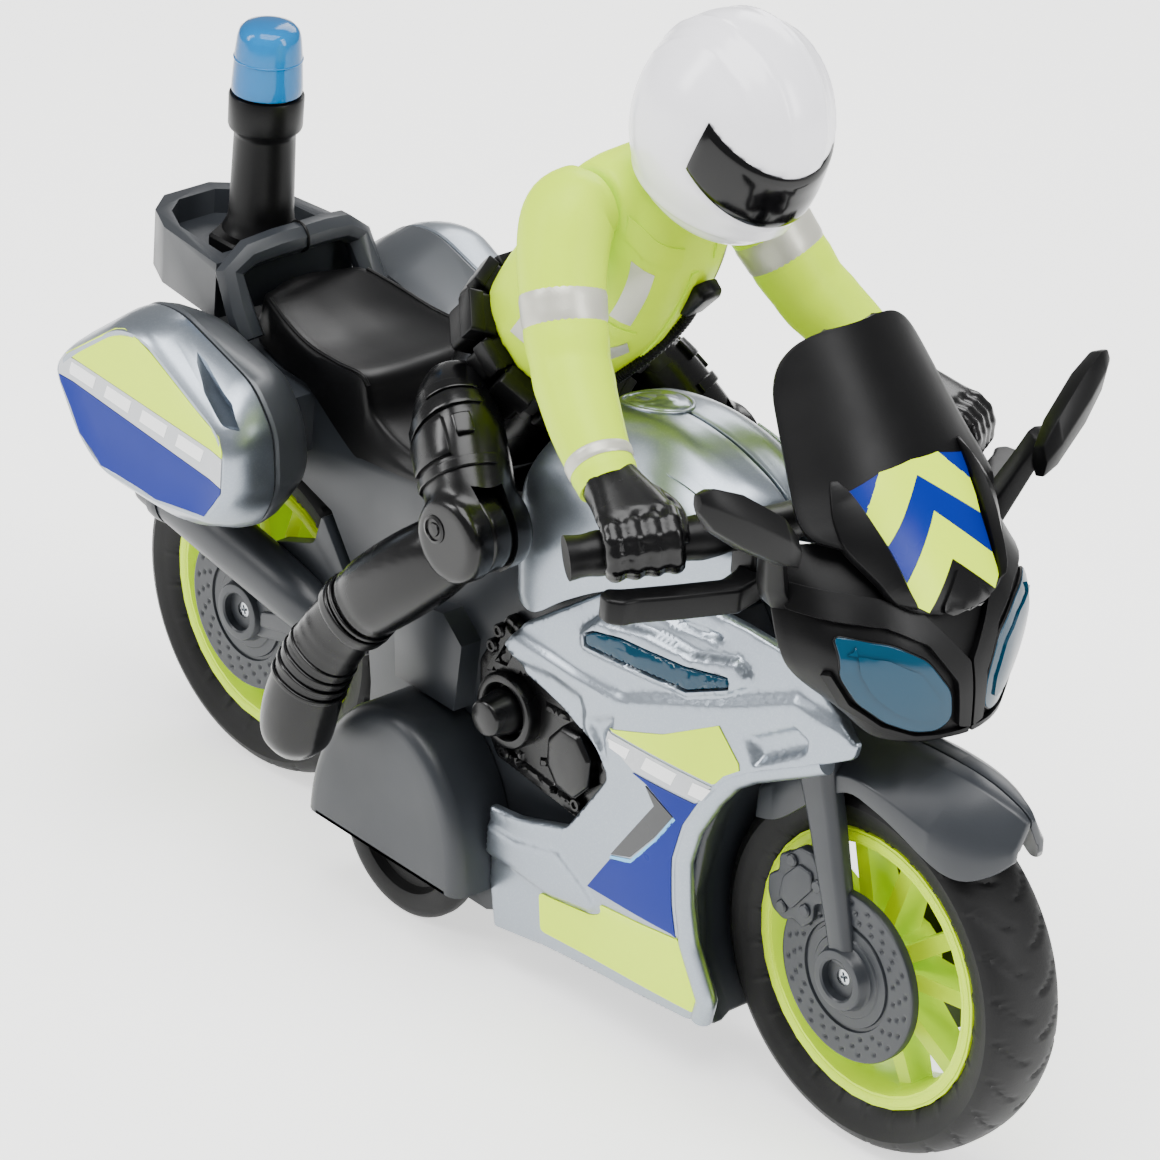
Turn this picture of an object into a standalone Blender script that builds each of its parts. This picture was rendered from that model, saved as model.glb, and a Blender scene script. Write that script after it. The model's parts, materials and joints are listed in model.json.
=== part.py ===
"""Friction-drive toy police motorcycle with a jointed rider, about 26 cm long.

Every shape is drawn in millimetres in a working frame: x runs forward from the rear axle,
y to the bike's left, z up from the ground. publish() turns it into metres and moves the
origin to the middle of the footprint.
"""
import bpy
import bmesh
from math import cos, pi, radians, sin
from mathutils import Matrix, Vector

MM = 0.001
GAP = 0.3                     # clearance between neighbouring pieces
WALL = 2.0                    # thickness of the moulded shells

TYRE_R = 38.5
TYRE_HALF = 9.4
BEAD_R = 28.6
AXLE_Z = TYRE_R
AXLE_R = 2.0
FRONT_X = 180.2               # wheelbase; the rear axle is at x = 0
FRONT_END = FRONT_X + TYRE_R
REAR_END = -39.6              # rearmost point of the tail rack
MID_X = (FRONT_END + REAR_END) / 2

DRIVE_X = 64.4                # friction wheels and their axle
DRIVE_R = 19.2
FLY_X, FLY_Z = 67.6, 31.2     # flywheel shaft
GEAR_R, PINION_R = 8.2, 4.1   # gear on the axle and pinion on the flywheel, 2 : 1
FRAME_HALF = 15.4             # outer face of the frame halves
BUTTON_X, BUTTON_Z = 90.0, 58.0   # sound button

BEACON_X = -15.3

SHOULDER = (97.5, 14.4, 169.3)
HIP = (69.0, 15.4, 114.5)
KNEE = (89.0, 31.0, 100.5)
NECK = (106.0, 0.0, 174.0)
NECK_TILT = radians(37)        # forward lean of the neck from upright
HELMET = (118.0, 0.0, 189.0)

COLOURS = {
    "black_satin": ((0.012, 0.012, 0.013), 0.45, 0.0),
    "black_gloss": ((0.010, 0.010, 0.011), 0.22, 0.0),
    "dark_grey": ((0.055, 0.060, 0.068), 0.42, 0.0),
    "silver_paint": ((0.52, 0.54, 0.57), 0.32, 0.6),
    "hi_vis": ((0.62, 0.80, 0.02), 0.40, 0.0),
    "white_gloss": ((0.86, 0.86, 0.88), 0.15, 0.0),
    "blue_clear": ((0.02, 0.26, 0.42), 0.12, 0.0),
    "rubber": ((0.016, 0.016, 0.017), 0.65, 0.0),
    "zinc": ((0.62, 0.62, 0.60), 0.30, 1.0),
    "brass": ((0.66, 0.48, 0.20), 0.35, 1.0),
    "green_board": ((0.02, 0.16, 0.06), 0.50, 0.0),
}


# ---- modelling helpers -------------------------------------------------------------------

def clear_scene():
    for item in list(bpy.data.objects):
        bpy.data.objects.remove(item, do_unlink=True)


def material(name):
    found = bpy.data.materials.get(name)
    if found:
        return found
    colour, roughness, metallic = COLOURS[name]
    made = bpy.data.materials.new(name)
    made.use_nodes = True
    shader = made.node_tree.nodes["Principled BSDF"]
    shader.inputs["Base Color"].default_value = (*colour, 1.0)
    shader.inputs["Roughness"].default_value = roughness
    shader.inputs["Metallic"].default_value = metallic
    return made


def scratch(bm):
    """A working object in millimetres; publish() or a boolean uses it up."""
    mesh = bpy.data.meshes.new("working")
    bm.to_mesh(mesh)
    bm.free()
    obj = bpy.data.objects.new("working", mesh)
    bpy.context.scene.collection.objects.link(obj)
    return obj


def bake(obj):
    """Replace an object's mesh by the mesh its modifiers make."""
    bpy.context.view_layer.update()
    evaluated = obj.evaluated_get(bpy.context.evaluated_depsgraph_get())
    mesh = bpy.data.meshes.new_from_object(evaluated)
    obj.modifiers.clear()
    obj.data = mesh
    return obj


def combine(obj, operation, tools):
    for tool in tools:
        step = obj.modifiers.new(operation.lower(), "BOOLEAN")
        step.operation = operation
        step.object = tool
        step.solver = "EXACT"
        bake(obj)
        bpy.data.objects.remove(tool, do_unlink=True)
    return obj


def union(obj, *tools):
    return combine(obj, "UNION", tools)


def subtract(obj, *tools):
    return combine(obj, "DIFFERENCE", tools)


def intersect(obj, *tools):
    return combine(obj, "INTERSECT", tools)


def duplicate(obj, mirror=False):
    """A copy of a working object, optionally mirrored to the other side of the bike."""
    bm = bmesh.new()
    bm.from_mesh(obj.data)
    if mirror:
        for vert in bm.verts:
            vert.co.y = -vert.co.y
        bmesh.ops.reverse_faces(bm, faces=bm.faces)
    return scratch(bm)


def loft(rings, closed=False):
    """Skin a run of rings that have equal numbers of points; open runs get end caps.

    A ring of one point closes the skin to a tip.
    """
    bm = bmesh.new()
    made = [[bm.verts.new(point) for point in ring] for ring in rings]
    pairs = list(zip(made, made[1:]))
    if closed:
        pairs.append((made[-1], made[0]))
    for a, b in pairs:
        count = max(len(a), len(b))
        for i in range(count):
            j = (i + 1) % count
            if len(a) == 1:
                bm.faces.new((a[0], b[j], b[i]))
            elif len(b) == 1:
                bm.faces.new((a[i], a[j], b[0]))
            else:
                bm.faces.new((a[i], a[j], b[j], b[i]))
    if not closed:
        for ring in (made[0], made[-1]):
            if len(ring) > 2:
                bm.faces.new(ring)
    bmesh.ops.recalc_face_normals(bm, faces=bm.faces)
    return scratch(bm)


def prism(outline, low, high, axis="y"):
    """Extrude a flat outline: (x, z) along y, (x, y) along z, or (y, z) along x."""
    place = {
        "y": lambda a, b, c: (a, c, b),
        "z": lambda a, b, c: (a, b, c),
        "x": lambda a, b, c: (c, a, b),
    }[axis]
    return loft([[place(a, b, c) for a, b in outline] for c in (low, high)])


def box(low, high):
    outline = [(low[0], low[2]), (high[0], low[2]), (high[0], high[2]), (low[0], high[2])]
    return prism(outline, low[1], high[1])


def turned(profile, centre, axis="y", sides=24):
    """Turn (radius, position) points about an axis through centre.

    A profile that starts and ends on the axis makes a solid; any other is closed to a ring.
    """
    on_axis = profile[0][0] == 0.0
    rings = []
    for radius, along in profile:
        ring = []
        for i in range(sides if radius else 1):
            angle = 2 * pi * i / sides
            a, b = radius * cos(angle), radius * sin(angle)
            offset = {"y": (a, along, b), "z": (a, b, along), "x": (along, a, b)}[axis]
            ring.append([c + o for c, o in zip(centre, offset)])
        rings.append(ring)
    return loft(rings, closed=not on_axis)


def rod(radius, low, high, centre, axis="y", sides=16):
    return turned([(0.0, low), (radius, low), (radius, high), (0.0, high)], centre, axis, sides)


def sheet(rows, thickness=WALL):
    """A shell from rows of points on its outer face, thickened inwards."""
    bm = bmesh.new()
    grid = [[bm.verts.new(point) for point in row] for row in rows]
    for upper, lower in zip(grid, grid[1:]):
        for i in range(len(upper) - 1):
            bm.faces.new((upper[i], lower[i], lower[i + 1], upper[i + 1]))
    obj = scratch(bm)
    skin = obj.modifiers.new("skin", "SOLIDIFY")
    skin.thickness = thickness
    skin.offset = -1.0
    skin.use_even_offset = True
    return bake(obj)


def slab(outline, thickness):
    """A shell panel that faces right, from the 3D corners of its outer face in order."""
    inner = [(x, y + thickness, z) for x, y, z in outline]
    return loft([outline, inner])


def limb(stations, sides=10, wide_axis=(0, 1, 0)):
    """A rounded limb through (point, half width, half depth) stations, wide along wide_axis."""
    rings = []
    for i, (point, wide, deep) in enumerate(stations):
        before = Vector(stations[max(i - 1, 0)][0])
        after = Vector(stations[min(i + 1, len(stations) - 1)][0])
        along = (after - before).normalized()
        across = (Vector(wide_axis) - along * along.dot(Vector(wide_axis))).normalized()
        normal = along.cross(across)
        ring = []
        for k in range(sides):
            angle = 2 * pi * (k + 0.5) / sides
            ring.append(Vector(point) + across * wide * cos(angle) + normal * deep * sin(angle))
        rings.append(ring)
    return loft(rings)


def tube(points, radius, sides=8, wide_axis=(1, 0, 0)):
    return limb([(point, radius, radius) for point in points], sides, wide_axis)


def arch(centre_x, half, base, top, foot=None, steps=8):
    """The outline of an upright half oval on straight feet that end at height foot."""
    curve = [] if foot is None else [(centre_x - half, foot), (centre_x + half, foot)]
    for i in range(steps + 1):
        angle = pi * i / steps
        curve.append((centre_x + half * cos(angle), base + (top - base) * sin(angle)))
    return curve


def inset(outline, distance):
    """Move every edge of a counter-clockwise outline inwards by distance."""
    moved = []
    count = len(outline)
    for i in range(count):
        before, here, after = (Vector(outline[k % count]) for k in (i - 1, i, i + 1))
        first, second = (here - before).normalized(), (after - here).normalized()
        normal = (Vector((-first.y, first.x)) + Vector((-second.y, second.x))).normalized()
        reach = distance / max(normal.dot(Vector((-first.y, first.x))), 0.35)
        moved.append(tuple(here + normal * reach))
    return moved


def publish(obj, name, finish, pivot=None):
    """Name a finished piece, give it metres, its material, smooth shading and its origin."""
    origin = Vector(pivot) if pivot else Vector((MID_X, 0.0, 0.0))
    mesh = obj.data
    mesh.transform(Matrix.Scale(MM, 4) @ Matrix.Translation(-origin))
    mesh.name = name
    mesh.materials.clear()
    mesh.materials.append(material(finish))
    mesh.shade_smooth()
    mesh.set_sharp_from_angle(angle=radians(32))
    obj.name = name
    obj.location = (origin - Vector((MID_X, 0.0, 0.0))) * MM
    return obj


def publish_pair(obj, name, finish, pivot=None):
    """Publish a right-hand piece, and its mirror image as the left-hand one."""
    other = duplicate(obj, mirror=True)
    other_pivot = (pivot[0], -pivot[1], pivot[2]) if pivot else None
    publish(obj, name + "_right", finish, pivot)
    publish(other, name + "_left", finish, other_pivot)


# ---- wheels ------------------------------------------------------------------------------

def tyre(centre):
    half = [(BEAD_R + GAP, -6.6), (31.4, -8.5), (34.4, -TYRE_HALF), (36.8, -7.4), (38.1, -4.2)]
    profile = half + [(TYRE_R, 0.0)] + [(r, -y) for r, y in reversed(half)]
    return turned(profile, centre, sides=32)


def rim(centre, bore):
    """Deep-lipped rim with five twin spokes and a bored hub."""
    profile = [(BEAD_R, -7.0), (BEAD_R, 7.0), (25.8, 7.0), (24.6, 3.4), (24.6, -3.4), (25.8, -7.0)]
    wheel = turned(profile, centre, sides=32)
    hub = turned([(bore, -7.0), (bore, 7.0), (7.0, 7.0), (7.0, -7.0)], centre, sides=16)
    for spoke in range(5):
        for lean in (-1, 1):
            start = 2 * pi * (spoke + 0.05) / 5 + pi / 2 + lean * 0.22
            end = start + lean * 0.06
            side = Vector((-sin(start), 0, cos(start))) * 1.7
            root = Vector((cos(start), 0, sin(start))) * 6.0
            tip = Vector((cos(end), 0, sin(end))) * 26.4
            rings = [[Vector(centre) + foot + side * a + Vector((0, b, 0))
                      for a, b in ((-1, -depth), (1, -depth), (1, depth), (-1, depth))]
                     for foot, depth in ((root, 4.5), (tip, 2.7))]
            hub = union(hub, loft(rings))
    return union(wheel, hub)


def road_wheels():
    front = (FRONT_X, 0.0, AXLE_Z)
    pieces = {"tyre": (tyre(front), "rubber"), "rim": (rim(front, AXLE_R + GAP), "hi_vis"),
              "axle": (rod(AXLE_R, -12.6, 12.6, front), "zinc")}
    for kind, (piece, finish) in pieces.items():
        copy = duplicate(piece)
        copy.data.transform(Matrix.Translation((-FRONT_X, 0, 0)))
        publish(piece, "front_" + kind, finish, front)
        publish(copy, "rear_" + kind, finish, (0.0, 0.0, AXLE_Z))


# ---- friction drive ----------------------------------------------------------------------

def gear(centre, radius, teeth, low, high):
    """A disc with shallow square teeth, its tips on the given radius."""
    outline = []
    for i in range(teeth):
        for step, depth in ((0.05, 0.6), (0.25, 0.0), (0.55, 0.0), (0.75, 0.6)):
            angle = 2 * pi * (i + step) / teeth
            outline.append((centre[0] + (radius - depth) * cos(angle),
                            centre[2] + (radius - depth) * sin(angle)))
    return prism(outline, low, high)


def friction_drive():
    centre = (DRIVE_X, 0.0, DRIVE_R)
    axle = rod(2.0, -21.0, 21.0, centre)
    publish(union(axle, gear(centre, GEAR_R - GAP / 2, 16, 1.0, 5.0)), "drive_axle", "zinc", centre)

    profile = [(2.0 + GAP, -17.9), (2.0 + GAP, -21.6), (5.0, -21.6), (6.0, -20.6), (13.0, -20.6),
               (14.0, -22.6), (17.8, -22.9), (DRIVE_R, -21.8), (DRIVE_R, -18.6), (18.4, -17.9)]
    publish_pair(turned(profile, centre, sides=20), "drive_wheel", "rubber", centre)

    fly_centre = (FLY_X, 0.0, FLY_Z)
    disc = turned([(0, -9.7), (1.2, -9.7), (1.2, -7.6), (9.0, -7.6), (9.0, -1.0), (1.2, -1.0),
                   (1.2, 9.7), (0, 9.7)], fly_centre, sides=20)
    pinion = gear(fly_centre, PINION_R - GAP / 2, 8, 0.6, 5.4)
    publish(union(disc, pinion), "flywheel", "brass", fly_centre)

    low, high = (52.0, -10.5, 9.2), (80.5, 10.5, 42.0)
    housing = box(low, high)
    hollow = box([c + 1.5 for c in low], [c - 1.5 for c in high])
    bores = [rod(2.0 + 0.4, -12.0, 12.0, centre), rod(1.6, -12.0, 12.0, fly_centre, sides=12)]
    publish(subtract(housing, hollow, *bores), "gearbox_housing", "black_satin")


def drive_cover():
    """Half-oval cover over each friction wheel, open below and to the inside."""
    outer = prism(arch(66.8, 23.6, 17.7, 50.2), -31.0, -15.8)
    inner = prism(arch(66.2, 22.0, 17.8, 48.2, 10.0), -28.8, -10.0)
    publish_pair(subtract(outer, inner), "drive_cover", "dark_grey")


# ---- frame and what it holds -------------------------------------------------------------

FRAME_OUTLINE = [
    (-18, 91), (6, 82), (29, 75), (41, 59), (44, 42), (44, 24), (50, 7), (83, 7), (92, 11),
    (139, 13.5), (134, 30), (132.5, 45), (136, 60), (142, 74), (146, 86), (138, 97), (95, 95.5),
    (66, 93), (36, 90.5), (20, 100), (-18, 100),
]


def frame_half():
    """Hollow right half of the body tray, with the tail block that the pannier sits on."""
    half = prism(FRAME_OUTLINE, -FRAME_HALF, -GAP / 2)
    hollow = prism(inset(FRAME_OUTLINE, WALL), -FRAME_HALF + WALL, 1.0)
    tail_block = box((-8, -20.7, 86), (22, -FRAME_HALF + 1, 99))
    side_block = prism([(57, 51), (75, 51), (76, 66), (70, 71), (60, 69), (56, 60)],
                       -20.6, -FRAME_HALF + 1)
    axle_hole = rod(2.6, -18.0, -10.0, (DRIVE_X, 0.0, DRIVE_R))
    door_hole = box((98, -9, 5), (120, 2, 16))
    half = subtract(half, hollow)
    half = union(half, tail_block, side_block)
    return subtract(half, axle_hole, door_hole)


def internals():
    door = prism([(98 + GAP, 11.6), (120 - GAP, 12.7), (120 - GAP, 14.2), (98 + GAP, 13.2)],
                 -9 + GAP, 9 - GAP)
    publish(door, "battery_door", "dark_grey")
    cells = turned([(0, -8.1), (5.0, -8.1), (5.0, -7.6), (5.8, -7.6), (5.8, 7.6), (5.0, 7.6),
                    (5.0, 8.1), (0, 8.1)], (109, 0, 22), sides=24)
    publish(cells, "button_cell_stack", "zinc")
    board = box((93, -12, 60.0), (128, 12, 61.2))
    chip = box((104, -4, 61.0), (112, 4, 63.0))
    publish(union(board, chip), "circuit_board", "green_board")
    speaker = turned([(0, 80), (6, 80), (6, 84), (11, 86), (11, 88), (0, 88)], (112, 0, 0), "z", 24)
    publish(speaker, "speaker", "black_satin")


def chassis():
    publish_pair(frame_half(), "frame", "dark_grey")
    internals()


def engine():
    """Relief plate in the fairing's notch, with a collar round the sound button."""
    plate = prism([(80, 52), (86, 45), (113, 41.5), (123, 58), (118, 67), (101, 73), (86, 77), (79, 64)],
                  -18.4, -FRAME_HALF - GAP)
    collar = rod(8.0, -21.6, -17.0, (BUTTON_X, 0, BUTTON_Z))
    octagon = rod(7.2, -21.0, -17.0, (109, 0, 55), sides=8)
    bore = rod(5.2, -30.0, -10.0, (BUTTON_X, 0, BUTTON_Z))
    right = subtract(union(plate, collar, octagon), bore)
    left = duplicate(right, mirror=True)
    publish(right, "engine_right", "black_gloss")
    blank = rod(6.0, 16.0, 24.0, (BUTTON_X, 0, BUTTON_Z))
    publish(union(left, blank), "engine_left", "black_gloss")
    button = turned([(0, -17.4), (4.8, -17.4), (4.8, -22.0), (3.6, -26.6), (0, -26.6)],
                    (BUTTON_X, 0, BUTTON_Z), sides=16)
    publish(button, "sound_button", "black_gloss", (BUTTON_X, -20.0, BUTTON_Z))


# ---- bodywork ----------------------------------------------------------------------------

LENS_OUTLINE = [(108.5, 86), (112, 84.5), (140, 83.2), (153, 91), (151, 94.2), (120, 91)]


def side_fairing():
    """Large side panel with a notch for the engine; its lens sits in a window."""
    outline = [(89, -22, 73), (93, -21.5, 78), (111, -20, 91), (123, -19, 96.5), (133, -18.5, 99.5),
               (164, -19, 99.5), (172, -18.5, 95.5), (182, -17.5, 90.0), (181, -17.5, 87.5),
               (157, -21, 74.5), (148, -22.5, 66),
               (145, -23, 55), (144, -23, 42), (145.5, -22.5, 31), (149, -20, 16), (146, -20, 14.5),
               (123, -21, 12.5), (107, -22, 12), (92, -23, 9.5), (89.5, -23, 37), (113, -22.5, 42.5),
               (122.5, -22.5, 58), (119, -22.5, 64), (103, -22, 69), (93, -22, 70)]
    panel = slab(outline, WALL)
    window = prism(LENS_OUTLINE, -30, -10)
    lens = intersect(duplicate(panel), prism(inset(LENS_OUTLINE, 0.35), -30, -10))
    publish_pair(subtract(panel, window), "side_fairing", "silver_paint")
    publish_pair(lens, "side_lens", "blue_clear")


def inner_fairing():
    """Liner behind the front wheel: wraps from one side panel round to the other."""
    profile = [(13.5, 147.5, 149.0, 16.6), (27, 141.0, 146.0, 18.6), (42, 139.6, 144.5, 20.4),
               (56, 142.6, 146.0, 20.2), (68, 147.0, 149.0, 18.6), (82, 150.5, 155.0, 16.4)]
    rows = []
    for z, middle, edge, half in profile:
        right = [(edge, -half, z), (middle + 1.6, -14.5, z), (middle, -10.5, z), (middle, 0, z)]
        rows.append(right + [(x, -y, height) for x, y, height in reversed(right[:-1])])
    publish(sheet(rows, 1.6), "inner_fairing", "dark_grey")


def tank():
    """Half tank shell, split on the centreline, with a skirt down to the side panel."""
    stations = [  # x, skirt bottom z, side half width, side z, shoulder z, top z
        (88.5, 84.0, 19.0, 108.0, 114.0, 117.0),
        (93.0, 80.5, 20.6, 109.0, 119.0, 122.5),
        (103.0, 88.0, 21.3, 110.0, 122.5, 126.6),
        (115.0, 95.5, 21.0, 111.0, 124.0, 128.2),
        (128.0, 100.5, 20.4, 114.0, 123.0, 127.0),
        (138.0, 104.0, 18.6, 114.0, 120.0, 123.5),
        (143.0, 108.0, 15.0, 113.0, 117.0, 120.0),
    ]
    rings = []
    for x, low, half, side, shoulder, top in stations:
        outer = [(half - 0.4, low), (half, side), (half - 6.5, shoulder), (half - 12, top - 0.5)]
        outer = [(x, -y, z) for y, z in outer] + [(x, -GAP / 2, top)]
        inner = [(half - 0.4 - WALL, low), (half - WALL, side - 1), (half - 7.5, shoulder - WALL),
                 (half - 12.5, top - 0.5 - WALL)]
        inner = [(x, -y, z) for y, z in inner] + [(x, -GAP / 2, top - WALL)]
        rings.append(outer + inner[::-1])
    publish_pair(loft(rings), "tank", "silver_paint")


def seat():
    """Dished pillion pad, a step, and the rider's seat, in one moulding."""
    stations = [  # x, half width at the bottom, at the top edge, bottom z, edge z, middle z
        (-2.0, 11.0, 9.0, 101.0, 110.5, 112.0),
        (4.0, 13.4, 13.2, 100.6, 112.0, 111.5),
        (20.5, 16.8, 17.0, 100.6, 109.0, 107.2),
        (36.5, 17.0, 17.5, 91.0, 109.5, 108.3),
        (40.5, 17.0, 16.5, 91.2, 102.5, 101.0),
        (52.0, 17.0, 15.5, 92.4, 97.4, 97.0),
        (68.0, 16.0, 13.5, 93.6, 97.6, 97.8),
        (86.0, 12.0, 9.5, 95.6, 101.0, 102.0),
    ]
    rings = []
    for x, base, edge, bottom, side, middle in stations:
        rings.append([(x, -base, bottom), (x, -base, (bottom + side) / 2), (x, -edge, side),
                      (x, -edge * 0.5, middle), (x, edge * 0.5, middle), (x, edge, side),
                      (x, base, (bottom + side) / 2), (x, base, bottom)])
    publish(loft(rings), "seat", "black_satin")


def tail_rack():
    """Rear carrier plate with a raised rim and the grab rail round the pillion."""
    right = [(REAR_END, -6), (-35, -12), (-27, -16), (-7, -18.4)]
    outline = right + [(x, -y) for x, y in reversed(right)]
    plate = prism(outline, 104.5, 117.0, "z")
    well = [(REAR_END + 3.5, -4.8), (-32.5, -9.6), (-25.5, -13), (-10.5, -14.0)]
    well += [(x, -y) for x, y in reversed(well)]
    plate = subtract(plate, prism(well, 111.5, 130, "z"), prism(well, 90, 107, "z"))
    path = [(3.5, -17.3, 103.8), (0, -17.3, 108.5), (-4.5, -17.0, 115.5), (-4.5, -12.5, 118.8),
            (-3.5, -6, 119.8), (-3.0, 0, 120.0)]
    path += [(x, -y, z) for x, y, z in reversed(path[:-1])]
    publish(union(plate, tube(path, 3.1)), "tail_rack", "dark_grey")


def beacon():
    """Hexagonal foot, pole and collar in one piece, and the clear blue cap."""
    foot = rod(8.4, 111.5 + GAP, 115.0, (BEACON_X - 4.5, 0, 0), "z", 6)
    pole = turned([(0, 113), (4.2, 113), (4.2, 117.4), (7.4, 117.4), (6.9, 121), (6.4, 139), (7.6, 140.2), (7.8, 147.6),
                   (6.0, 147.6), (6.0, 149.0), (0, 149.0)], (BEACON_X, 0, 0), "z", 20)
    publish(union(foot, pole), "beacon_mast", "black_satin")
    dome = turned([(0, 149.0 + GAP), (6.0 + GAP, 149.0 + GAP), (6.0 + GAP, 148.0), (7.3, 148.0),
                   (6.9, 156), (6.4, 160.4), (5.2, 162.2), (0, 163.0)], (BEACON_X, 0, 0), "z", 20)
    publish(dome, "beacon_lens", "blue_clear")


def pannier():
    """Side case: a silver outer shell and a grey inner half, meeting at a seam."""
    face = [(-26, 94), (-22.5, 99), (-6, 111.5), (3, 112.5), (28, 101), (30.5, 96), (30.5, 87),
            (24, 79), (7, 76), (-10, 76), (-18, 81.5), (-25, 91.5)]
    seam = [(-24.5, 97), (-20, 102.5), (-7, 113), (2, 114), (25, 107), (32, 99), (33.5, 86),
            (29, 77), (12, 70), (-6, 71), (-16, 77.5), (-23.5, 90)]
    back = [(-19, 97), (-16, 101), (-8, 108), (1, 109), (21, 104.5), (27, 97), (29.5, 86),
            (23, 76), (10, 73), (-4, 74), (-12, 79.5), (-18, 90)]
    shell = loft([[(x, -34.0 - GAP, z) for x, z in seam],
                  [(x * 0.97 + 0.1, -42.5, z * 0.97 + 2.8) for x, z in face],
                  [(x, -45.0, z) for x, z in inset(face, 2.0)]])
    inner = loft([[(x, -34.0, z) for x, z in seam], [(x, -24.0, z) for x, z in back],
                  [(x, -21.0, z) for x, z in inset(back, 2.5)]])
    publish_pair(shell, "pannier_shell", "silver_paint")
    publish_pair(inner, "pannier_back", "dark_grey")


# ---- nose and controls -------------------------------------------------------------------

def mirror_row(half):
    """Complete a row of points from the centreline outwards to both sides."""
    return [(x, -y, z) for x, y, z in reversed(half)] + half[1:]


def nose():
    rows = [
        [(174.0, 0, 131.5), (172.5, 8, 131.5), (168.5, 16, 130.0), (163.0, 23, 128.5), (158.0, 26.5, 128.0)],
        [(182.0, 0, 123.5), (180.5, 8, 123.5), (177.5, 16, 122.5), (171.5, 24, 121.0), (164.0, 28.0, 120.5)],
        [(188.0, 0, 114.5), (187.0, 8, 114.5), (184.0, 16, 114.0), (178.0, 25, 113.0), (169.0, 28.5, 111.5)],
        [(191.5, 0, 105.0), (190.0, 7, 104.5), (186.0, 14, 104.0), (180.5, 21, 104.0), (172.0, 25.5, 105.0)],
        [(192.5, 0, 93.4), (190.5, 6, 93.2), (186.5, 11, 93.0), (182.5, 15, 94.0), (177.5, 17.5, 98.0)],
    ]
    shell = sheet([mirror_row(row) for row in rows], 2.2)
    outline = [(-24.0, 115.0), (-23.5, 107.0), (-18.5, 99.5), (-12.0, 96.5), (-5.6, 96.6),
               (-5.2, 102.0), (-9.0, 108.5), (-14.0, 111.5)]
    lens_tool = prism(inset(outline, 0.35), 150, 200, "x")
    lens = intersect(duplicate(shell), lens_tool)
    openings = [prism(outline, 150, 200, "x"), prism([(-y, z) for y, z in outline], 150, 200, "x")]
    publish(subtract(shell, *openings), "nose_fairing", "black_satin")
    publish_pair(lens, "headlight", "blue_clear")


def windscreen():
    rows = [
        [(154.8, 0, 163.2), (154.0, 8, 162.6), (152.0, 14.5, 160.6)],
        [(158.5, 0, 158.0), (156.5, 9, 157.0), (151.5, 18.5, 154.6)],
        [(168.0, 0, 146.5), (165.5, 11, 145.5), (158.0, 22.0, 143.5)],
        [(175.5, 0, 138.2), (173.5, 12, 137.5), (165.5, 24.0, 136.0)],
        [(180.5, 0, 134.0), (179.3, 9, 133.6), (174.5, 17.0, 132.6)],
        [(187.0, 0, 127.6), (186.0, 6, 127.2), (183.2, 11.0, 126.4)],
        [(191.9, 0, 120.4), (191.4, 3.5, 120.0), (190.2, 6.0, 119.4)],
    ]
    publish(sheet([mirror_row(row) for row in rows], 1.6), "windscreen", "black_satin")


def controls():
    """Handlebar with grips and ball-ended levers, in one moulding, and the two mirrors."""
    half = [((150.0, 0.0, 122.0), 4.2), ((152.0, -15.0, 124.0), 4.2), ((152.0, -23.0, 125.6), 4.4),
            ((136.5, -52.0, 121.5), 4.0)]
    grips = [(p, r) for p, r in half[:0:-1]] + [(half[0][0], half[0][1])]
    grips += [((x, -y, z), r) for (x, y, z), r in half[1:]]
    bar = limb([(point, radius, radius) for point, radius in grips], 10, (0, 0, 1))
    for side in (-1, 1):
        lever = prism([(x, y * side) for x, y in ((152.5, 52.5), (148.5, 53.4), (147.5, 50.4),
                                                    (156.5, 31), (151, 18), (158, 18), (162.0, 31))],
                      115.6, 119.4, "z")
        low, high = sorted((19 * side, 24 * side))
        stay = box((152, low, 117), (158, high, 124))
        bar = union(bar, lever, stay)
    publish(bar, "handlebar", "black_satin")

    arm = limb([((168.0, -29.4, 122.0), 1.8, 4.2), ((171.5, -33.5, 133.5), 1.8, 3.4),
                ((173.0, -36.0, 138.0), 2.6, 4.6)], 8)
    head = limb([((175.5, -33.0, 134.5), 2.6, 3.2), ((173.5, -40.0, 140.0), 3.0, 5.6),
                 ((171.2, -48.0, 144.6), 2.8, 5.2), ((170.3, -52.2, 147.0), 1.4, 2.8)], 8)
    publish_pair(union(arm, head), "mirror", "black_satin")


# ---- fork and swingarm -------------------------------------------------------------------

def fender_half():
    stations = [(152.5, 74.0, 72.0, 60.5, 12.2), (160.0, 82.0, 79.5, 64.0, 12.6),
                (176.0, 86.0, 83.0, 77.0, 12.8), (190.0, 87.2, 83.6, 75.0, 12.8),
                (200.0, 87.0, 82.0, 70.5, 11.5), (207.0, 85.0, 79.0, 70.5, 8.5), (211.5, 83.4, 79.8, 77.0, 4.0)]
    rings = []
    for x, top, shoulder, low, half in stations:
        rings.append([(x, -GAP / 2, top), (x, -half * 0.72, shoulder), (x, -half, (shoulder + low) / 2),
                      (x, -half, low), (x, -half + 1.8, low), (x, -half + 1.8, (shoulder + low) / 2),
                      (x, -half * 0.72 + 1.0, shoulder - 1.8), (x, -GAP / 2, top - 2.0)])
    return loft(rings)


def brake_disc(x):
    """Disc with a raised boss, recessed and bored for the axle screw."""
    bore = AXLE_R + GAP
    profile = [(bore, -10.2), (17.7, -10.2), (17.7, -12.0), (6.2, -12.0), (6.2, -14.8), (4.0, -14.8),
               (4.0, -12.9), (bore, -12.9)]
    return turned(profile, (x, 0, AXLE_Z))


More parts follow.
